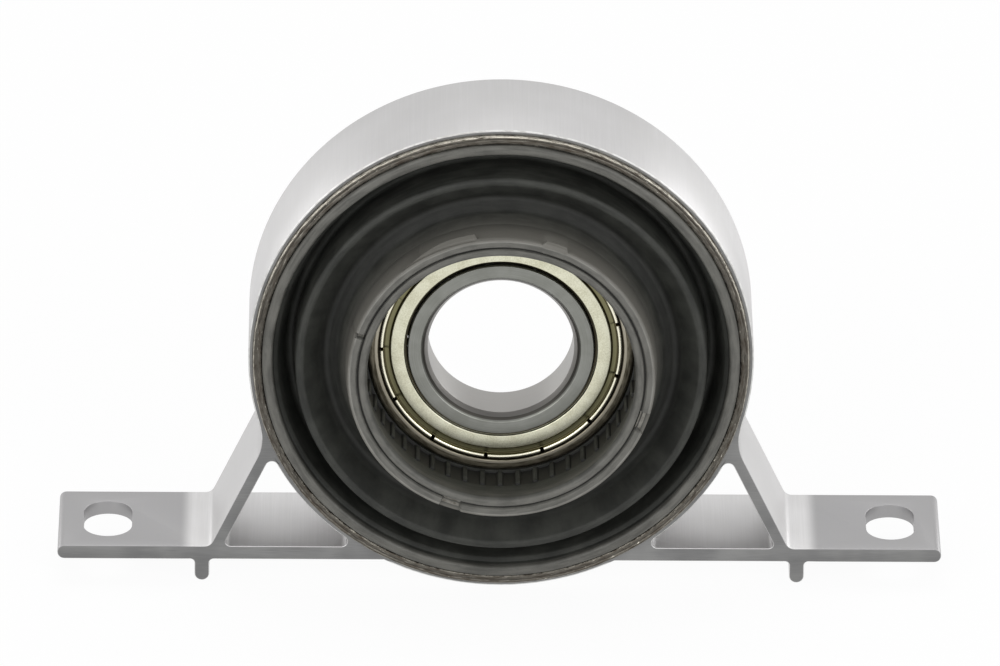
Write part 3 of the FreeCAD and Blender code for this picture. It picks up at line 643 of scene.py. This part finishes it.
# Bracket: one length of extruded profile, sawn, bored and slotted
bracketShape = {
    "footTop": 43.0, "footLow": 46.0, "tabRound": 1.4,
    "lean": 25.45, "strutFoot": 59.6, "strutThick": 2.35, "strutBlend": 10.4, "strutRoot": 2.0,
    "windowTop": 1.3, "windowOuter": 1.0, "windowInner": 1.2,
    "ribAt": 61.3, "ribHalf": 1.525, "ribLow": 50.85, "ribRoot": 0.9,
    "slotFromEnd": 10.2, "slotRadius": 5.0, "slotLong": 16.0,
    "bore": 49.0, "recess": 50.5, "lead": 50.9, "leadDeep": 0.4, "cutterPast": 5.0,
    "edgeRound": 0.29, "ringShare": 1.0, "boreShare": 0.3, "footShare": 0.5,
    "ringFrom": -25.0, "ringBottomHalf": 22.0, "steps": 360,
}


def arc(centre, radius, start, stop, steps):
    return [(centre[0] + radius * math.cos(start + (stop - start) * k / steps),
             centre[1] + radius * math.sin(start + (stop - start) * k / steps))
            for k in range(steps + 1)]


def bracketOutline():
    # right half of the outside, from the ring's bottom to its top, then mirrored
    shape = bracketShape
    tabEnd = bracketHigh.x / mm
    lean = math.radians(shape["lean"])
    cosine, sine = math.cos(lean), math.sin(lean)
    line = cosine * shape["strutFoot"] - sine * shape["footTop"]
    reach, blend = ringOuter, shape["strutBlend"]
    far = math.sqrt((reach + blend) ** 2 - (line + blend) ** 2)
    blendAt = (cosine * (line + blend) + sine * far, -(cosine * far - sine * (line + blend)))
    root = shape["strutRoot"]
    rootAt = ((line + root + sine * (shape["footTop"] - root)) / cosine, root - shape["footTop"])
    low, top, ribRoot = -shape["footLow"], -shape["footTop"], shape["ribRoot"]
    footMeets = math.atan2(low, math.sqrt(reach ** 2 - low ** 2))
    half, middle = shape["ribHalf"], shape["ribAt"]
    right = arc((0, 0), reach, -math.pi / 2, footMeets, 30)
    right += arc((middle - half - ribRoot, low - ribRoot), ribRoot, math.pi / 2, 0, 5)
    right += arc((middle, -shape["ribLow"] + half), half, math.pi, fullTurn, 12)
    right += arc((middle + half + ribRoot, low - ribRoot), ribRoot, math.pi, math.pi / 2, 5)
    tab = shape["tabRound"]
    right += arc((tabEnd - tab, low + tab), tab, -math.pi / 2, 0, 6)
    right += arc((tabEnd - tab, top - tab), tab, 0, math.pi / 2, 6)
    right += arc(rootAt, root, -math.pi / 2, -math.pi + lean, 8)
    towards = math.atan2(-blendAt[1], -blendAt[0])
    right += arc(blendAt, blend, math.pi + lean, towards + fullTurn if towards < 0 else towards, 14)
    ringFrom = math.atan2(blendAt[1], blendAt[0])
    right += arc((0, 0), reach, ringFrom, math.pi / 2, 150)[1:]
    left = [(-x, z) for x, z in reversed(right[1:-1])]
    return right + left


def windowOutline():
    shape = bracketShape
    lean = math.radians(shape["lean"])
    cosine, sine = math.cos(lean), math.sin(lean)
    line = cosine * shape["strutFoot"] - sine * shape["footTop"] - shape["strutThick"]
    top, outer, inner = shape["windowTop"], shape["windowOuter"], shape["windowInner"]
    far = math.sqrt((ringOuter + top) ** 2 - (line - top) ** 2)
    peak = (cosine * (line - top) + sine * far, -(cosine * far - sine * (line - top)))
    lowZ = outer - shape["footTop"]
    lowOut = ((line - outer - sine * lowZ) / cosine, lowZ)
    innerZ = inner - shape["footTop"]
    lowIn = (math.sqrt((ringOuter + inner) ** 2 - innerZ ** 2), innerZ)
    peakRing = math.atan2(-peak[1], -peak[0])
    ringSide = math.atan2(peak[1], peak[0])
    lowSide = math.atan2(lowIn[1], lowIn[0])
    points = arc(peak, top, peakRing, lean, 10)
    points += arc(lowOut, outer, lean, -math.pi / 2, 8)
    points += arc(lowIn, inner, -math.pi / 2, lowSide - math.pi, 8)
    points += arc((0, 0), ringOuter, lowSide, ringSide, 24)[1:-1]
    return points


def prism(name, loops, front, back):
    # an outline with holes, filled and drawn out along the shaft
    work = bmesh.new()
    edges = []
    for loop in loops:
        verts = [work.verts.new((x * mm, front * mm, z * mm)) for x, z in loop]
        edges += [work.edges.new((verts[k - 1], verts[k])) for k in range(len(verts))]
    bmesh.ops.triangle_fill(work, use_beauty=True, use_dissolve=True, edges=edges)
    drawn = bmesh.ops.extrude_face_region(work, geom=list(work.faces))
    moved = [part for part in drawn["geom"] if isinstance(part, bmesh.types.BMVert)]
    bmesh.ops.translate(work, verts=moved, vec=(0, (back - front) * mm, 0))
    bmesh.ops.recalc_face_normals(work, faces=work.faces)
    mesh = bpy.data.meshes.new(name)
    work.to_mesh(mesh)
    work.free()
    return mesh


def applied(item):
    # the object's mesh with its modifiers in it
    graph = bpy.context.evaluated_depsgraph_get()
    graph.update()
    mesh = bpy.data.meshes.new_from_object(item.evaluated_get(graph))
    item.modifiers.clear()
    item.data = mesh
    return item


def cutAway(item, cutter):
    cut = item.modifiers.new("cut", "BOOLEAN")
    cut.operation = "DIFFERENCE"
    cut.solver = "EXACT"
    cut.object = cutter
    applied(item)
    bpy.data.objects.remove(cutter)


def slotCutter(side):
    shape = bracketShape
    centre = side * (bracketHigh.x / mm - shape["slotFromEnd"])
    middle = (bracketFront + bracketBack) / 2
    straight = shape["slotLong"] / 2 - shape["slotRadius"]
    outline = arc((centre, middle + straight), shape["slotRadius"], 0, math.pi, 24)
    outline += arc((centre, middle - straight), shape["slotRadius"], math.pi, fullTurn, 24)
    low, high = -shape["footLow"] - shape["cutterPast"], -shape["footTop"] + shape["cutterPast"]
    count = len(outline)
    verts = [(x * mm, y * mm, low * mm) for x, y in outline]
    verts += [(x * mm, y * mm, high * mm) for x, y in outline]
    faces = [tuple(range(count)), tuple(range(count, 2 * count))]
    faces += [(k, (k + 1) % count, (k + 1) % count + count, k + count) for k in range(count)]
    return looseObject("slotCutter", meshOf("slotCutter", verts, faces))


def boreCutter():
    # the ring's bore with the recess for the sleeve's rim, past both ends of the bracket
    shape = bracketShape
    recessDeep = bracketFront + shape["leadDeep"]
    outline = [
        (shape["lead"], bracketFront - shape["cutterPast"]), (shape["lead"], bracketFront),
        (shape["recess"], recessDeep), (shape["bore"], recessDeep),
        (shape["bore"], bracketBack + shape["cutterPast"])]
    verts, faces = spin(outline, shape["steps"], closed=False)
    for end in (0, len(outline) - 1):
        faces.append(tuple(turn * len(outline) + end for turn in range(shape["steps"])))
    return looseObject("boreCutter", meshOf("boreCutter", verts, faces))


def roundEdges(item):
    # full rounding on the ring's outer edges, less in the bore and on the foot
    shape = bracketShape
    work = bmesh.new()
    work.from_mesh(item.data)
    bmesh.ops.remove_doubles(work, verts=work.verts, dist=0.004 * mm)
    bmesh.ops.dissolve_limit(
        work, angle_limit=math.radians(0.2), verts=work.verts, edges=work.edges)
    weight = work.edges.layers.float.new("bevel_weight_edge")
    for edge in work.edges:
        if not edge.is_manifold or edge.calc_face_angle(0) < math.radians(30):
            continue
        spot = (edge.verts[0].co + edge.verts[1].co) / 2 / mm
        radius = math.hypot(spot.x, spot.z)
        free = spot.z > shape["ringFrom"] or abs(spot.x) < shape["ringBottomHalf"]
        if abs(radius - ringOuter) < 0.05 and free:
            edge[weight] = shape["ringShare"]
        elif radius < shape["lead"] + 0.05:
            edge[weight] = shape["boreShare"]
        else:
            edge[weight] = shape["footShare"]
    work.to_mesh(item.data)
    work.free()
    bevel = item.modifiers.new("edges", "BEVEL")
    bevel.width = shape["edgeRound"] * mm
    bevel.limit_method = "WEIGHT"
    bevel.segments = 3
    bevel.use_clamp_overlap = False  # the round ring's short edges would leave no rounding
    applied(item)


def finishBracket(item):
    # drawn skin all over, sawn on the two ends, a painted highlight on the ring's rounded edges
    item.data.materials.clear()
    for finish in (skin, sawn, edgeHighlight):
        item.data.materials.append(finish)
    for face in item.data.polygons:
        depth = face.center.y / mm
        inward = min(abs(depth - bracketFront), abs(depth - bracketBack))
        radius = math.hypot(face.center.x, face.center.z) / mm
        facing = abs(face.normal.y)
        if inward < 0.02 and facing > 0.98:
            face.material_index = 1
        elif (inward < bracketShape["edgeRound"] and 0.12 < facing < 0.98
                and abs(radius - ringOuter) < 0.5):
            face.material_index = 2
        else:
            face.material_index = 0
    item.data.polygons.foreach_set("use_smooth", [True] * len(item.data.polygons))
    item.data.set_sharp_from_angle(angle=math.radians(28))


def makeBracket():
    right = windowOutline()
    left = [(-x, z) for x, z in reversed(right)]
    mesh = prism("bracketBody", [bracketOutline(), right, left], bracketFront, bracketBack)
    item = looseObject("bracketBody", mesh)
    for cutter in (boreCutter(), slotCutter(-1), slotCutter(1)):
        cutAway(item, cutter)
    roundEdges(item)
    finishBracket(item)
    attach(item, "bracket")
    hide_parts("bracket")


makeBracket()
print("bracket made")


# Outer sleeve: steel tube with a rolled, slightly ragged rim, damaged at its lower left
sleeveShape = {
    "inner": 47.8, "back": 12.6, "rimOuter": 50.8, "rimInner": 49.1,
    "stand": 1.2, "flare": 0.6, "seatOuter": 50.42, "seatDeep": 0.4, "tubeOuter": 48.98,
    "seam": [(49.85, 0.03, 0.15), (50.12, 0.17, 0.1), (50.35, 0.02, 0.15)],  # in the rim's face
    "seamEnds": (49.75, 50.4), "seamDeep": 0.05, "seamWide": 0.12, "wobble": 0.09, "chip": 0.24,
    "damageAt": 222, "damageReach": 60, "damageFade": 45, "steps": 540,
}


def makeOuterSleeve():
    shape = sleeveShape
    front = bracketFront
    face = front - shape["stand"]
    slow = wander(3, 9, 2, 11)
    quick = wander(4, 16, 20, 75)
    ragged = wander(5, 18, 60, 170)
    seat = front + shape["seatDeep"]
    points = softened([
        (shape["inner"], shape["back"], 0.3), (shape["inner"], front + shape["flare"], 0.4),
        (shape["rimInner"], front - 0.1, 0.4), (shape["rimInner"], face + 0.25, 0.3),
        (shape["rimInner"] + 0.35, face, 0.2), *placed(shape["seam"], face),
        (shape["rimOuter"] - 0.1, face + 0.1, 0.2), (shape["rimOuter"], face + 0.5, 0.3),
        (shape["rimOuter"], front - 0.05, 0.1), (shape["seatOuter"], seat, 0.05),
        (shape["tubeOuter"], seat, 0.0), (shape["tubeOuter"], shape["back"], 0.3)], 20.0)

    def shift(across, along, angle):
        lift = ease(-along, -seat, -(face + 0.2))
        beside = shape["damageReach"] - angleGap(angle, shape["damageAt"])
        damage = ease(beside, 0, shape["damageFade"])
        worn = slow(angle) * 0.5 + ragged(angle) * (0.3 + 0.5 * damage)
        across -= lift * max(0.0, worn) * shape["chip"]
        wave = 0.6 + quick(angle) * 0.6 + ragged(angle) * 0.5 * damage
        along += lift * wave * shape["wobble"]
        if shape["seamEnds"][0] < across < shape["seamEnds"][1]:
            along += (quick(angle + 1) + ragged(angle)) * shape["seamDeep"]
            across += slow(angle + 2) * shape["seamWide"]
        return across, along

    verts, faces = spin(points, shape["steps"], shift)
    mesh = meshOf("outerSleeve", verts, faces)
    item = settle("outerSleeve", mesh, [curled, tube], 50)
    for polygon in mesh.polygons:
        polygon.material_index = 0 if polygon.center.y / mm < front + shape["flare"] + 0.5 else 1
    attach(item, "bracket")
    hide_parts("outer_sleeve")


makeOuterSleeve()
print("outer sleeve made")


# Rubber mount: bead and lining, folded web, collar with its ribbed bore
rubberShape = {
    "beadOuter": 48.95, "beadInner": 46.8, "beadStand": 1.6, "beadRound": 0.72,
    "liningOuter": 47.78, "liningInner": 46.5, "liningBack": 11.4,
    "liningFront": [(46.55, 0.8, 0.3), (46.2, 2.2, 0.0), (46.45, 4.4, 0.4)],
    "web": [  # from the wall over the crest to the collar's root, then its back
        (46.6, 0.5, 0.0), (45.8, 1.2, 0.9), (44.0, 6.7, 1.2), (42.5, 6.7, 1.2),
        (42.1, -2.5, 0.9), (40.7, -2.85, 1.2), (37.3, 1.5, 2.4), (35.8, 2.6, 1.8),
        (33.4, 0.7, 1.8), (32.45, -1.5, 1.2), (32.0, -2.6, 0.0), (32.0, 4.2, 0.0),
        (34.9, 4.6, 1.4), (37.3, 3.7, 1.6), (40.2, -1.5, 0.5), (41.0, 8.0, 1.3),
        (44.6, 8.6, 1.3), (46.5, 11.4, 0.5), (46.62, 11.4, 0.0)],
    "webOuter": 45.9, "webInner": 33.4, "sectors": 12, "sectorSteps": 40, "steps": 576,
}
collarShape = {
    "stand": 9.08, "boreRadius": 28.05, "coneStart": 12.2, "seatEdge": 6.52,
    "bearingSeat": 27.52, "padInner": 26.3, "padBack": 8.16,
    "hubInner": 29.53, "hubOuter": 30.77, "hubFront": 18.9,
    "root": [(33.0, 1.6, 0.3), (32.45, 0.4, 0.8), (32.1, -1.2, 1.0)],
    "lip": [  # outside with the fin's three points, then face, groove and mouth
        (31.62, 1.3, 0.3), (31.59, 1.05, 0.0), (31.58, 0.95, 0.0), (31.57, 0.85, 0.0),
        (31.5, 0.6, 0.1), (31.4, 0.0, 0.3), (29.85, 0.02, 0.22), (29.52, 0.62, 0.1),
        (29.3, 0.62, 0.1), (29.05, 0.08, 0.25), (28.1, 0.12, 0.7), (27.4, 0.95, 0.8),
        (27.75, 3.2, 0.8)],
    "back": [(32.35, 4.4, 0.6), (33.0, 4.1, 0.3)],
    "gaps": [(250.5, 3.8), (341.3, 3.9), (162.1, 0.8)],  # flash torn away: middle, half width
    "gapDeep": 0.95, "tab": (65.6, 74.4), "tabOut": 1.15, "tabUp": 0.28,  # flash left standing
    "fin": (99.3, 131.0), "finAt": 31.58, "finHigh": 1.35, "finUp": 0.35, "finFade": 22,
    "ribCount": 48, "ribWide": 1.35, "ribHigh": 0.5, "ribSink": 0.15, "ribBack": -6.56,
    # a rib's section as shares of its half width and height, and its height from the cone on
    "ribSection": [(-1, 0), (-0.86, 0.62), (-0.5, 0.95), (0.5, 0.95), (0.86, 0.62), (1, 0)],
    "ribFront": [(-0.35, 0.12), (-0.2, 0.75), (0.15, 1.0)],
}


def makeRubberRim():
    # bead and lining stay in the sleeve
    shape = rubberShape
    front = bracketFront
    face = front - shape["beadStand"]
    wobble = wander(11, 9, 5, 34)
    points = softened([
        (shape["beadOuter"], front - 0.1, 0.0), (shape["beadOuter"], face, shape["beadRound"]),
        (shape["beadInner"], face, shape["beadRound"]), (shape["beadInner"], front + 0.1, 0.3),
        *placed(shape["liningFront"], front), (shape["liningInner"], shape["liningBack"] - 9, 0.3),
        (shape["liningInner"], shape["liningBack"], 0.4),
        (shape["liningOuter"], shape["liningBack"], 0.2),
        (shape["liningOuter"], front + 0.6, 0.2)], 15.0)

    def shift(across, along, angle):
        lift = ease(-along, -front, -face)
        return across + lift * wobble(angle) * 0.1, along + lift * wobble(angle + 1) * 0.08

    verts, faces = spin(points, shape["steps"], shift)
    item = settle("rubberRim", meshOf("rubberRim", verts, faces), [rubber], 60)
    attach(item, "bracket")


def makeWeb():
    shape = rubberShape
    points = softened(placed(shape["web"], bracketFront), 8.0)
    sweep = fullTurn / shape["sectors"]
    for sector in range(shape["sectors"]):
        start = sector * sweep
        verts, faces = spin(points, shape["sectorSteps"], None, start, sweep)
        name = "rubberWeb_%02d" % (sector + 1)
        item = settle(name, meshOf(name, verts, faces), [rubber], 80)
        middle = start + sweep / 2
        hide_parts("rubber_mount")
        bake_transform(item)


def collarOutline():
    shape = collarShape
    front, cone, seat = bracketFront, -shape["coneStart"], shape["seatEdge"]
    return softened([
        *placed(shape["root"], front), *placed(shape["lip"], front - shape["stand"]),
        (shape["boreRadius"], cone - 0.9, 0.8), (shape["boreRadius"], cone, 0.5),
        (shape["boreRadius"], -seat - 0.08, 0.1), (shape["bearingSeat"], -seat, 0.0),
        (shape["bearingSeat"], seat, 0.0), (shape["padInner"], seat, 0.1),
        (shape["padInner"], shape["padBack"], 0.1), (shape["hubInner"], shape["padBack"], 0.0),
        (shape["hubInner"], -shape["hubFront"], 0.0), (shape["hubOuter"], -shape["hubFront"], 0.0),
        (shape["hubOuter"], shape["padBack"], 0.0), (31.7, shape["padBack"], 0.3),
        *placed(shape["back"], front)], 14.0)


def makeCollar():
    shape = collarShape
    lip = bracketFront - shape["stand"]
    wobble = wander(21, 7, 2, 9)
    ripple = wander(22, 14, 18, 60)
    tabMiddle, tabHalf = sum(shape["tab"]) / 2, (shape["tab"][1] - shape["tab"][0]) / 2
    finMiddle, finHalf = sum(shape["fin"]) / 2, (shape["fin"][1] - shape["fin"][0]) / 2

    def shift(across, along, angle):
        if abs(across - shape["finAt"]) < 0.03:
            here = ease(finHalf - angleGap(angle, finMiddle), 0, 0.5)
            taper = ease(shape["fin"][1] - math.degrees(angle % fullTurn), 0, shape["finFade"])
            return across + shape["finHigh"] * here * taper, along - shape["finUp"] * here
        top = ease(-along, -(lip + 1.6), -(lip + 0.3))
        outerBand = ease(across, 29.15, 29.5)  # the lip outside its groove
        torn = max(1 - ease(angleGap(angle, middle), half - 0.35, half + 0.35)
                   for middle, half in shape["gaps"])
        raised = ease(tabHalf - angleGap(angle, tabMiddle), -0.3, 0.3)
        along += top * outerBand * (shape["gapDeep"] * torn - shape["tabUp"] * raised)
        across -= top * outerBand * torn * max(0.0, across - 29.85) * 0.88
        across += top * shape["tabOut"] * raised * ease(across, 30.2, 31.3)
        if 29.2 < across < 29.6 and top > 0.5:
            across += 0.14 * wobble(angle) + 0.05 * ripple(angle)
        along += top * 0.05 * ripple(angle + 1)
        across += top * 0.07 * wobble(angle + 2)
        return across, along

    verts, faces = spin(collarOutline(), rubberShape["steps"], shift)
    for rib in range(shape["ribCount"]):
        addRib(verts, faces, math.pi / 2 + fullTurn * rib / shape["ribCount"])
    item = settle("rubberCollar", meshOf("rubberCollar", verts, faces), [rubber], 40)
    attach(item, "hub")
    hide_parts("rubber_mount")


def addRib(verts, faces, angle):
    # a round-topped crush rib in the bore, with a blunt front end
    shape = collarShape
    base = shape["boreRadius"] + shape["ribSink"]
    half, high = shape["ribWide"] / 2, shape["ribHigh"] + shape["ribSink"]
    stations = [(-shape["coneStart"] + deep, share) for deep, share in shape["ribFront"]]
    stations.append((shape["ribBack"], 1.0))
    first = len(verts)
    count = len(shape["ribSection"])
    for depth, share in stations:
        for side, height in shape["ribSection"]:
            radius = base - high * height * share
            turned = angle + half * side * (0.7 + 0.3 * share) / base
            verts.append((
                radius * mm * math.cos(turned), depth * mm, radius * mm * math.sin(turned)))
    for station in range(len(stations) - 1):
        for index in range(count - 1):
            corner = first + station * count + index
            faces.append((corner, corner + 1, corner + count + 1, corner + count))
    faces.append(tuple(first + index for index in range(count)))


makeRubberRim()
makeWeb()
makeCollar()
print("rubber mount made")


# Bearing: two rings and two pressed shields
bearingShape = {
    "bore": 15.0, "leadDeep": 1.9, "edge": 15.7, "edgeDeep": 0.85, "face": 16.45,
    "innerLand": 19.1, "innerRace": 17.628, "outerLand": 23.4, "outerRace": 24.872,
    "raceHalf": 2.6, "raceFloor": 1.0, "raceRound": 1.5,
    "seat": 25.16, "seatDeep": 1.7, "corner": 0.8, "steps": 364,
}
shieldShape = {
    "inner": 19.86, "hem": 19.32, "flatOuter": 22.6, "channelOuter": 24.05, "outer": 24.93,
    "sink": 0.5, "channel": 1.05, "sheet": 0.35, "crimpSink": 0.18, "backStep": (22.45, 22.25),
    "crimp": [(24.16, -0.08, 0.2), (24.5, 0.0, 0.3), (24.84, -0.05, 0.15), (24.93, -0.3, 0.15)],
    "notches": 13, "notchHalf": 0.62, "firstNotch": 180, "notchFrom": 23.4, "steps": 728,
}


def makeRing(name, node, body, half, finish, sharp):
    points = softened(mirrored(half), 15.0)
    verts, faces = spin(points, bearingShape["steps"])
    item = settle(name, meshOf(name, verts, faces), [finish], sharp)
    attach(item, body)
    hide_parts(node)


def innerRingHalf():
    # front half, from the bore over the face to the middle of the race
    shape = bearingShape
    face = -ringHalf
    return [
        (shape["bore"], face + shape["leadDeep"], 0.3),
        (shape["edge"], face + shape["edgeDeep"], 0.15), (shape["face"], face, 0.3),
        (shape["innerLand"], face, 0.22), (shape["innerLand"], -shape["raceHalf"], 0.0),
        (shape["innerRace"], -shape["raceFloor"], shape["raceRound"])]


def outerRingHalf():
    # back half, from the outside over the shield's seat to the middle of the race
    shape = bearingShape
    floor = ringHalf - shape["seatDeep"]
    return [
        (ringRadius, ringHalf, shape["corner"]), (shape["seat"], ringHalf, 0.25),
        (shape["seat"], floor, 0.0), (shape["outerLand"], floor, 0.1),
        (shape["outerLand"], shape["raceHalf"], 0.0),
        (shape["outerRace"], shape["raceFloor"], shape["raceRound"])]


def makeShield(name, node, side):
    shape = shieldShape
    flat = ringHalf - shape["sink"]
    channel = ringHalf - shape["channel"]
    crimp = ringHalf - shape["crimpSink"]
    sheet = shape["sheet"]
    corners = [
        (shape["hem"], flat - sheet * 2.6, 0.05), (shape["hem"], flat - sheet * 1.6, 0.05),
        (shape["inner"] - 0.1, flat - sheet * 1.5, 0.1), (shape["inner"], flat, 0.16),
        (shape["flatOuter"], flat, 0.22), (shape["flatOuter"] + 0.25, channel, 0.14),
        (shape["channelOuter"], channel, 0.1), *placed(shape["crimp"], crimp),
        (shape["outer"], channel - sheet, 0.15), (shape["backStep"][0], channel - sheet, 0.1),
        (shape["backStep"][1], flat - sheet, 0.1), (shape["inner"] + sheet, flat - sheet, 0.12),
        (shape["inner"] + sheet, flat - sheet * 2.6, 0.08)]
    points = [(spot.x, spot.y * side) for spot in softened(corners, 18.0)]
    notchAt = [
        shape["firstNotch"] + 360 / shape["notches"] * k for k in range(shape["notches"])]

    def shift(across, along, angle):
        near = min(angleGap(angle, middle) for middle in notchAt)
        depth = 1 - ease(near, shape["notchHalf"] * 0.55, shape["notchHalf"] * 1.25)
        if across > shape["notchFrom"] and abs(along) > channel - sheet * 0.5:
            along -= side * depth * (abs(along) - (channel - sheet * 0.6)) * 0.96
        return across, along

    verts, faces = spin(points, shape["steps"], shift)
    item = settle(name, meshOf(name, verts, faces), [plated], 40)
    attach(item, "hub")
    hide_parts(node)


makeRing("innerRing", "bearing_inner_ring", "inner_ring", innerRingHalf(), ground, 30)
makeRing("outerRing", "bearing_outer_ring", "hub", outerRingHalf(), outerSteel, 35)
makeShield("frontShield", "front_shield", -1)
makeShield("rearShield", "rear_shield", 1)
print("bearing made")

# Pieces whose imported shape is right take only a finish
carriedOver = {"hub_sleeve": tube, "cage_front": strip, "cage_rear": strip, "cage_rivets": strip}
for number in range(1, 12):
    carriedOver["ball_%02d" % number] = ballSteel
for item in list(bpy.data.objects):
    node = item.get("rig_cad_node")
    if node in carriedOver:
        item.data.materials.clear()
        item.data.materials.append(carriedOver[node])
print("carried pieces finished")

# Camera at the photograph's angle
cameraPlace = {
    "azimuth": -0.54, "elevation": 25.87, "roll": 0.51, "distance": 2959.0,
    "focal": 14455.0, "frameWide": 1000.0, "frameHigh": 666.0,
    "frontSpotX": 501.1, "frontSpotY": 359.7,
}


def makeCamera():
    place = cameraPlace
    data = bpy.data.cameras.new("studioCamera")
    data.sensor_width = 36.0
    data.lens = place["focal"] * data.sensor_width / place["frameWide"]
    data.clip_start, data.clip_end = 0.05, 50.0
    camera = looseObject("studioCamera", data)
    around, above = math.radians(place["azimuth"]), math.radians(place["elevation"])
    back = Vector((
        math.sin(around) * math.cos(above), -math.cos(around) * math.cos(above),
        math.sin(above)))
    turned = (-back).to_track_quat("-Z", "Y").to_matrix()
    turned = turned @ turned.Rotation(math.radians(place["roll"]), 3, "Z")
    perPixel = place["distance"] / place["focal"]
    right = (place["frameWide"] / 2 - place["frontSpotX"]) * perPixel
    up = (place["frontSpotY"] - place["frameHigh"] / 2) * perPixel
    aim = Vector((0, bracketFront, 0)) + turned.col[0] * right + turned.col[1] * up
    camera.matrix_world = turned.to_4x4()
    camera.location = (aim + back * place["distance"]) * mm
    bpy.context.scene.camera = camera


makeCamera()
print("camera placed")

# Studio: white floor and surroundings, soft lamps from both sides and above
studio = {
    "floorColour": paint(240, 240, 240), "floorRough": 0.9, "floorLit": 0.94, "floorHalf": 6.0,
    "floorDrop": 0.00002, "ambient": (0.5, 0.5, 0.505, 1.0), "lampSize": 0.9,
    "lamps": {
        "frontLeftLamp": (6.0, (-0.75, -0.95, 0.5)), "frontRightLamp": (6.0, (0.75, -0.95, 0.5)),
        "backLeftLamp": (3.0, (-1.05, 0.6, 0.25)), "backRightLamp": (4.4, (1.05, 0.6, 0.25)),
        "topLamp": (4.0, (0.0, 0.25, 1.2)),
    },
}


def makeWorld():
    # white where it is looked at or reflected, grey where it lights
    world = bpy.data.worlds.new("studioWorld")
    world.use_nodes = True
    nodes = Nodes(world.node_tree)
    camera, glossy, clear = nodes.node("ShaderNodeLightPath", out=(
        "Is Camera Ray", "Is Glossy Ray", "Is Transmission Ray"))
    white = (1.0, 1.0, 1.0, 1.0)
    nodes.link(
        nodes.mix(camera.orMore(glossy).orMore(clear), studio["ambient"], white),
        "Background", "Color")
    bpy.context.scene.world = world


def makeFloor():
    material = bpy.data.materials.new("studioFloor")
    material.use_nodes = True
    nodes = Nodes(material.node_tree)
    shader = nodes.tree.nodes["Principled BSDF"]
    shader.inputs["Base Color"].default_value = studio["floorColour"]
    shader.inputs["Roughness"].default_value = studio["floorRough"]
    shader.inputs["Specular IOR Level"].default_value = 0.0
    camera, glossy, clear = nodes.node("ShaderNodeLightPath", out=(
        "Is Camera Ray", "Is Glossy Ray", "Is Transmission Ray"))
    share = (camera * studio["floorLit"]).orMore(glossy).orMore(clear)
    lit = nodes.node("ShaderNodeEmission")
    both = nodes.node("ShaderNodeMixShader", {}, {
        0: share, 1: Signal(nodes, shader.outputs[0]), 2: lit})
    nodes.link(both, "Material Output", "Surface")
    half, level = studio["floorHalf"], cadLow.z - studio["floorDrop"]
    mesh = bpy.data.meshes.new("studioFloor")
    mesh.from_pydata(
        [(-half, -half, level), (half, -half, level), (half, half, level), (-half, half, level)],
        [], [(0, 1, 2, 3)])
    mesh.materials.append(material)
    floor = looseObject("studioFloor", mesh)


def addLamp(name, watts, spot):
    data = bpy.data.lights.new(name, "AREA")
    data.energy = watts
    data.shape = "DISK"
    data.size = studio["lampSize"]
    lamp = looseObject(name, data)
    lamp.location = spot
    lamp.rotation_mode = "QUATERNION"
    lamp.rotation_quaternion = (-Vector(spot)).to_track_quat("-Z", "Y")


makeWorld()
makeFloor()
for name, (watts, spot) in studio["lamps"].items():
    addLamp(name, watts, spot)
bpy.context.scene.view_settings.view_transform = "Standard"
print("studio lit")
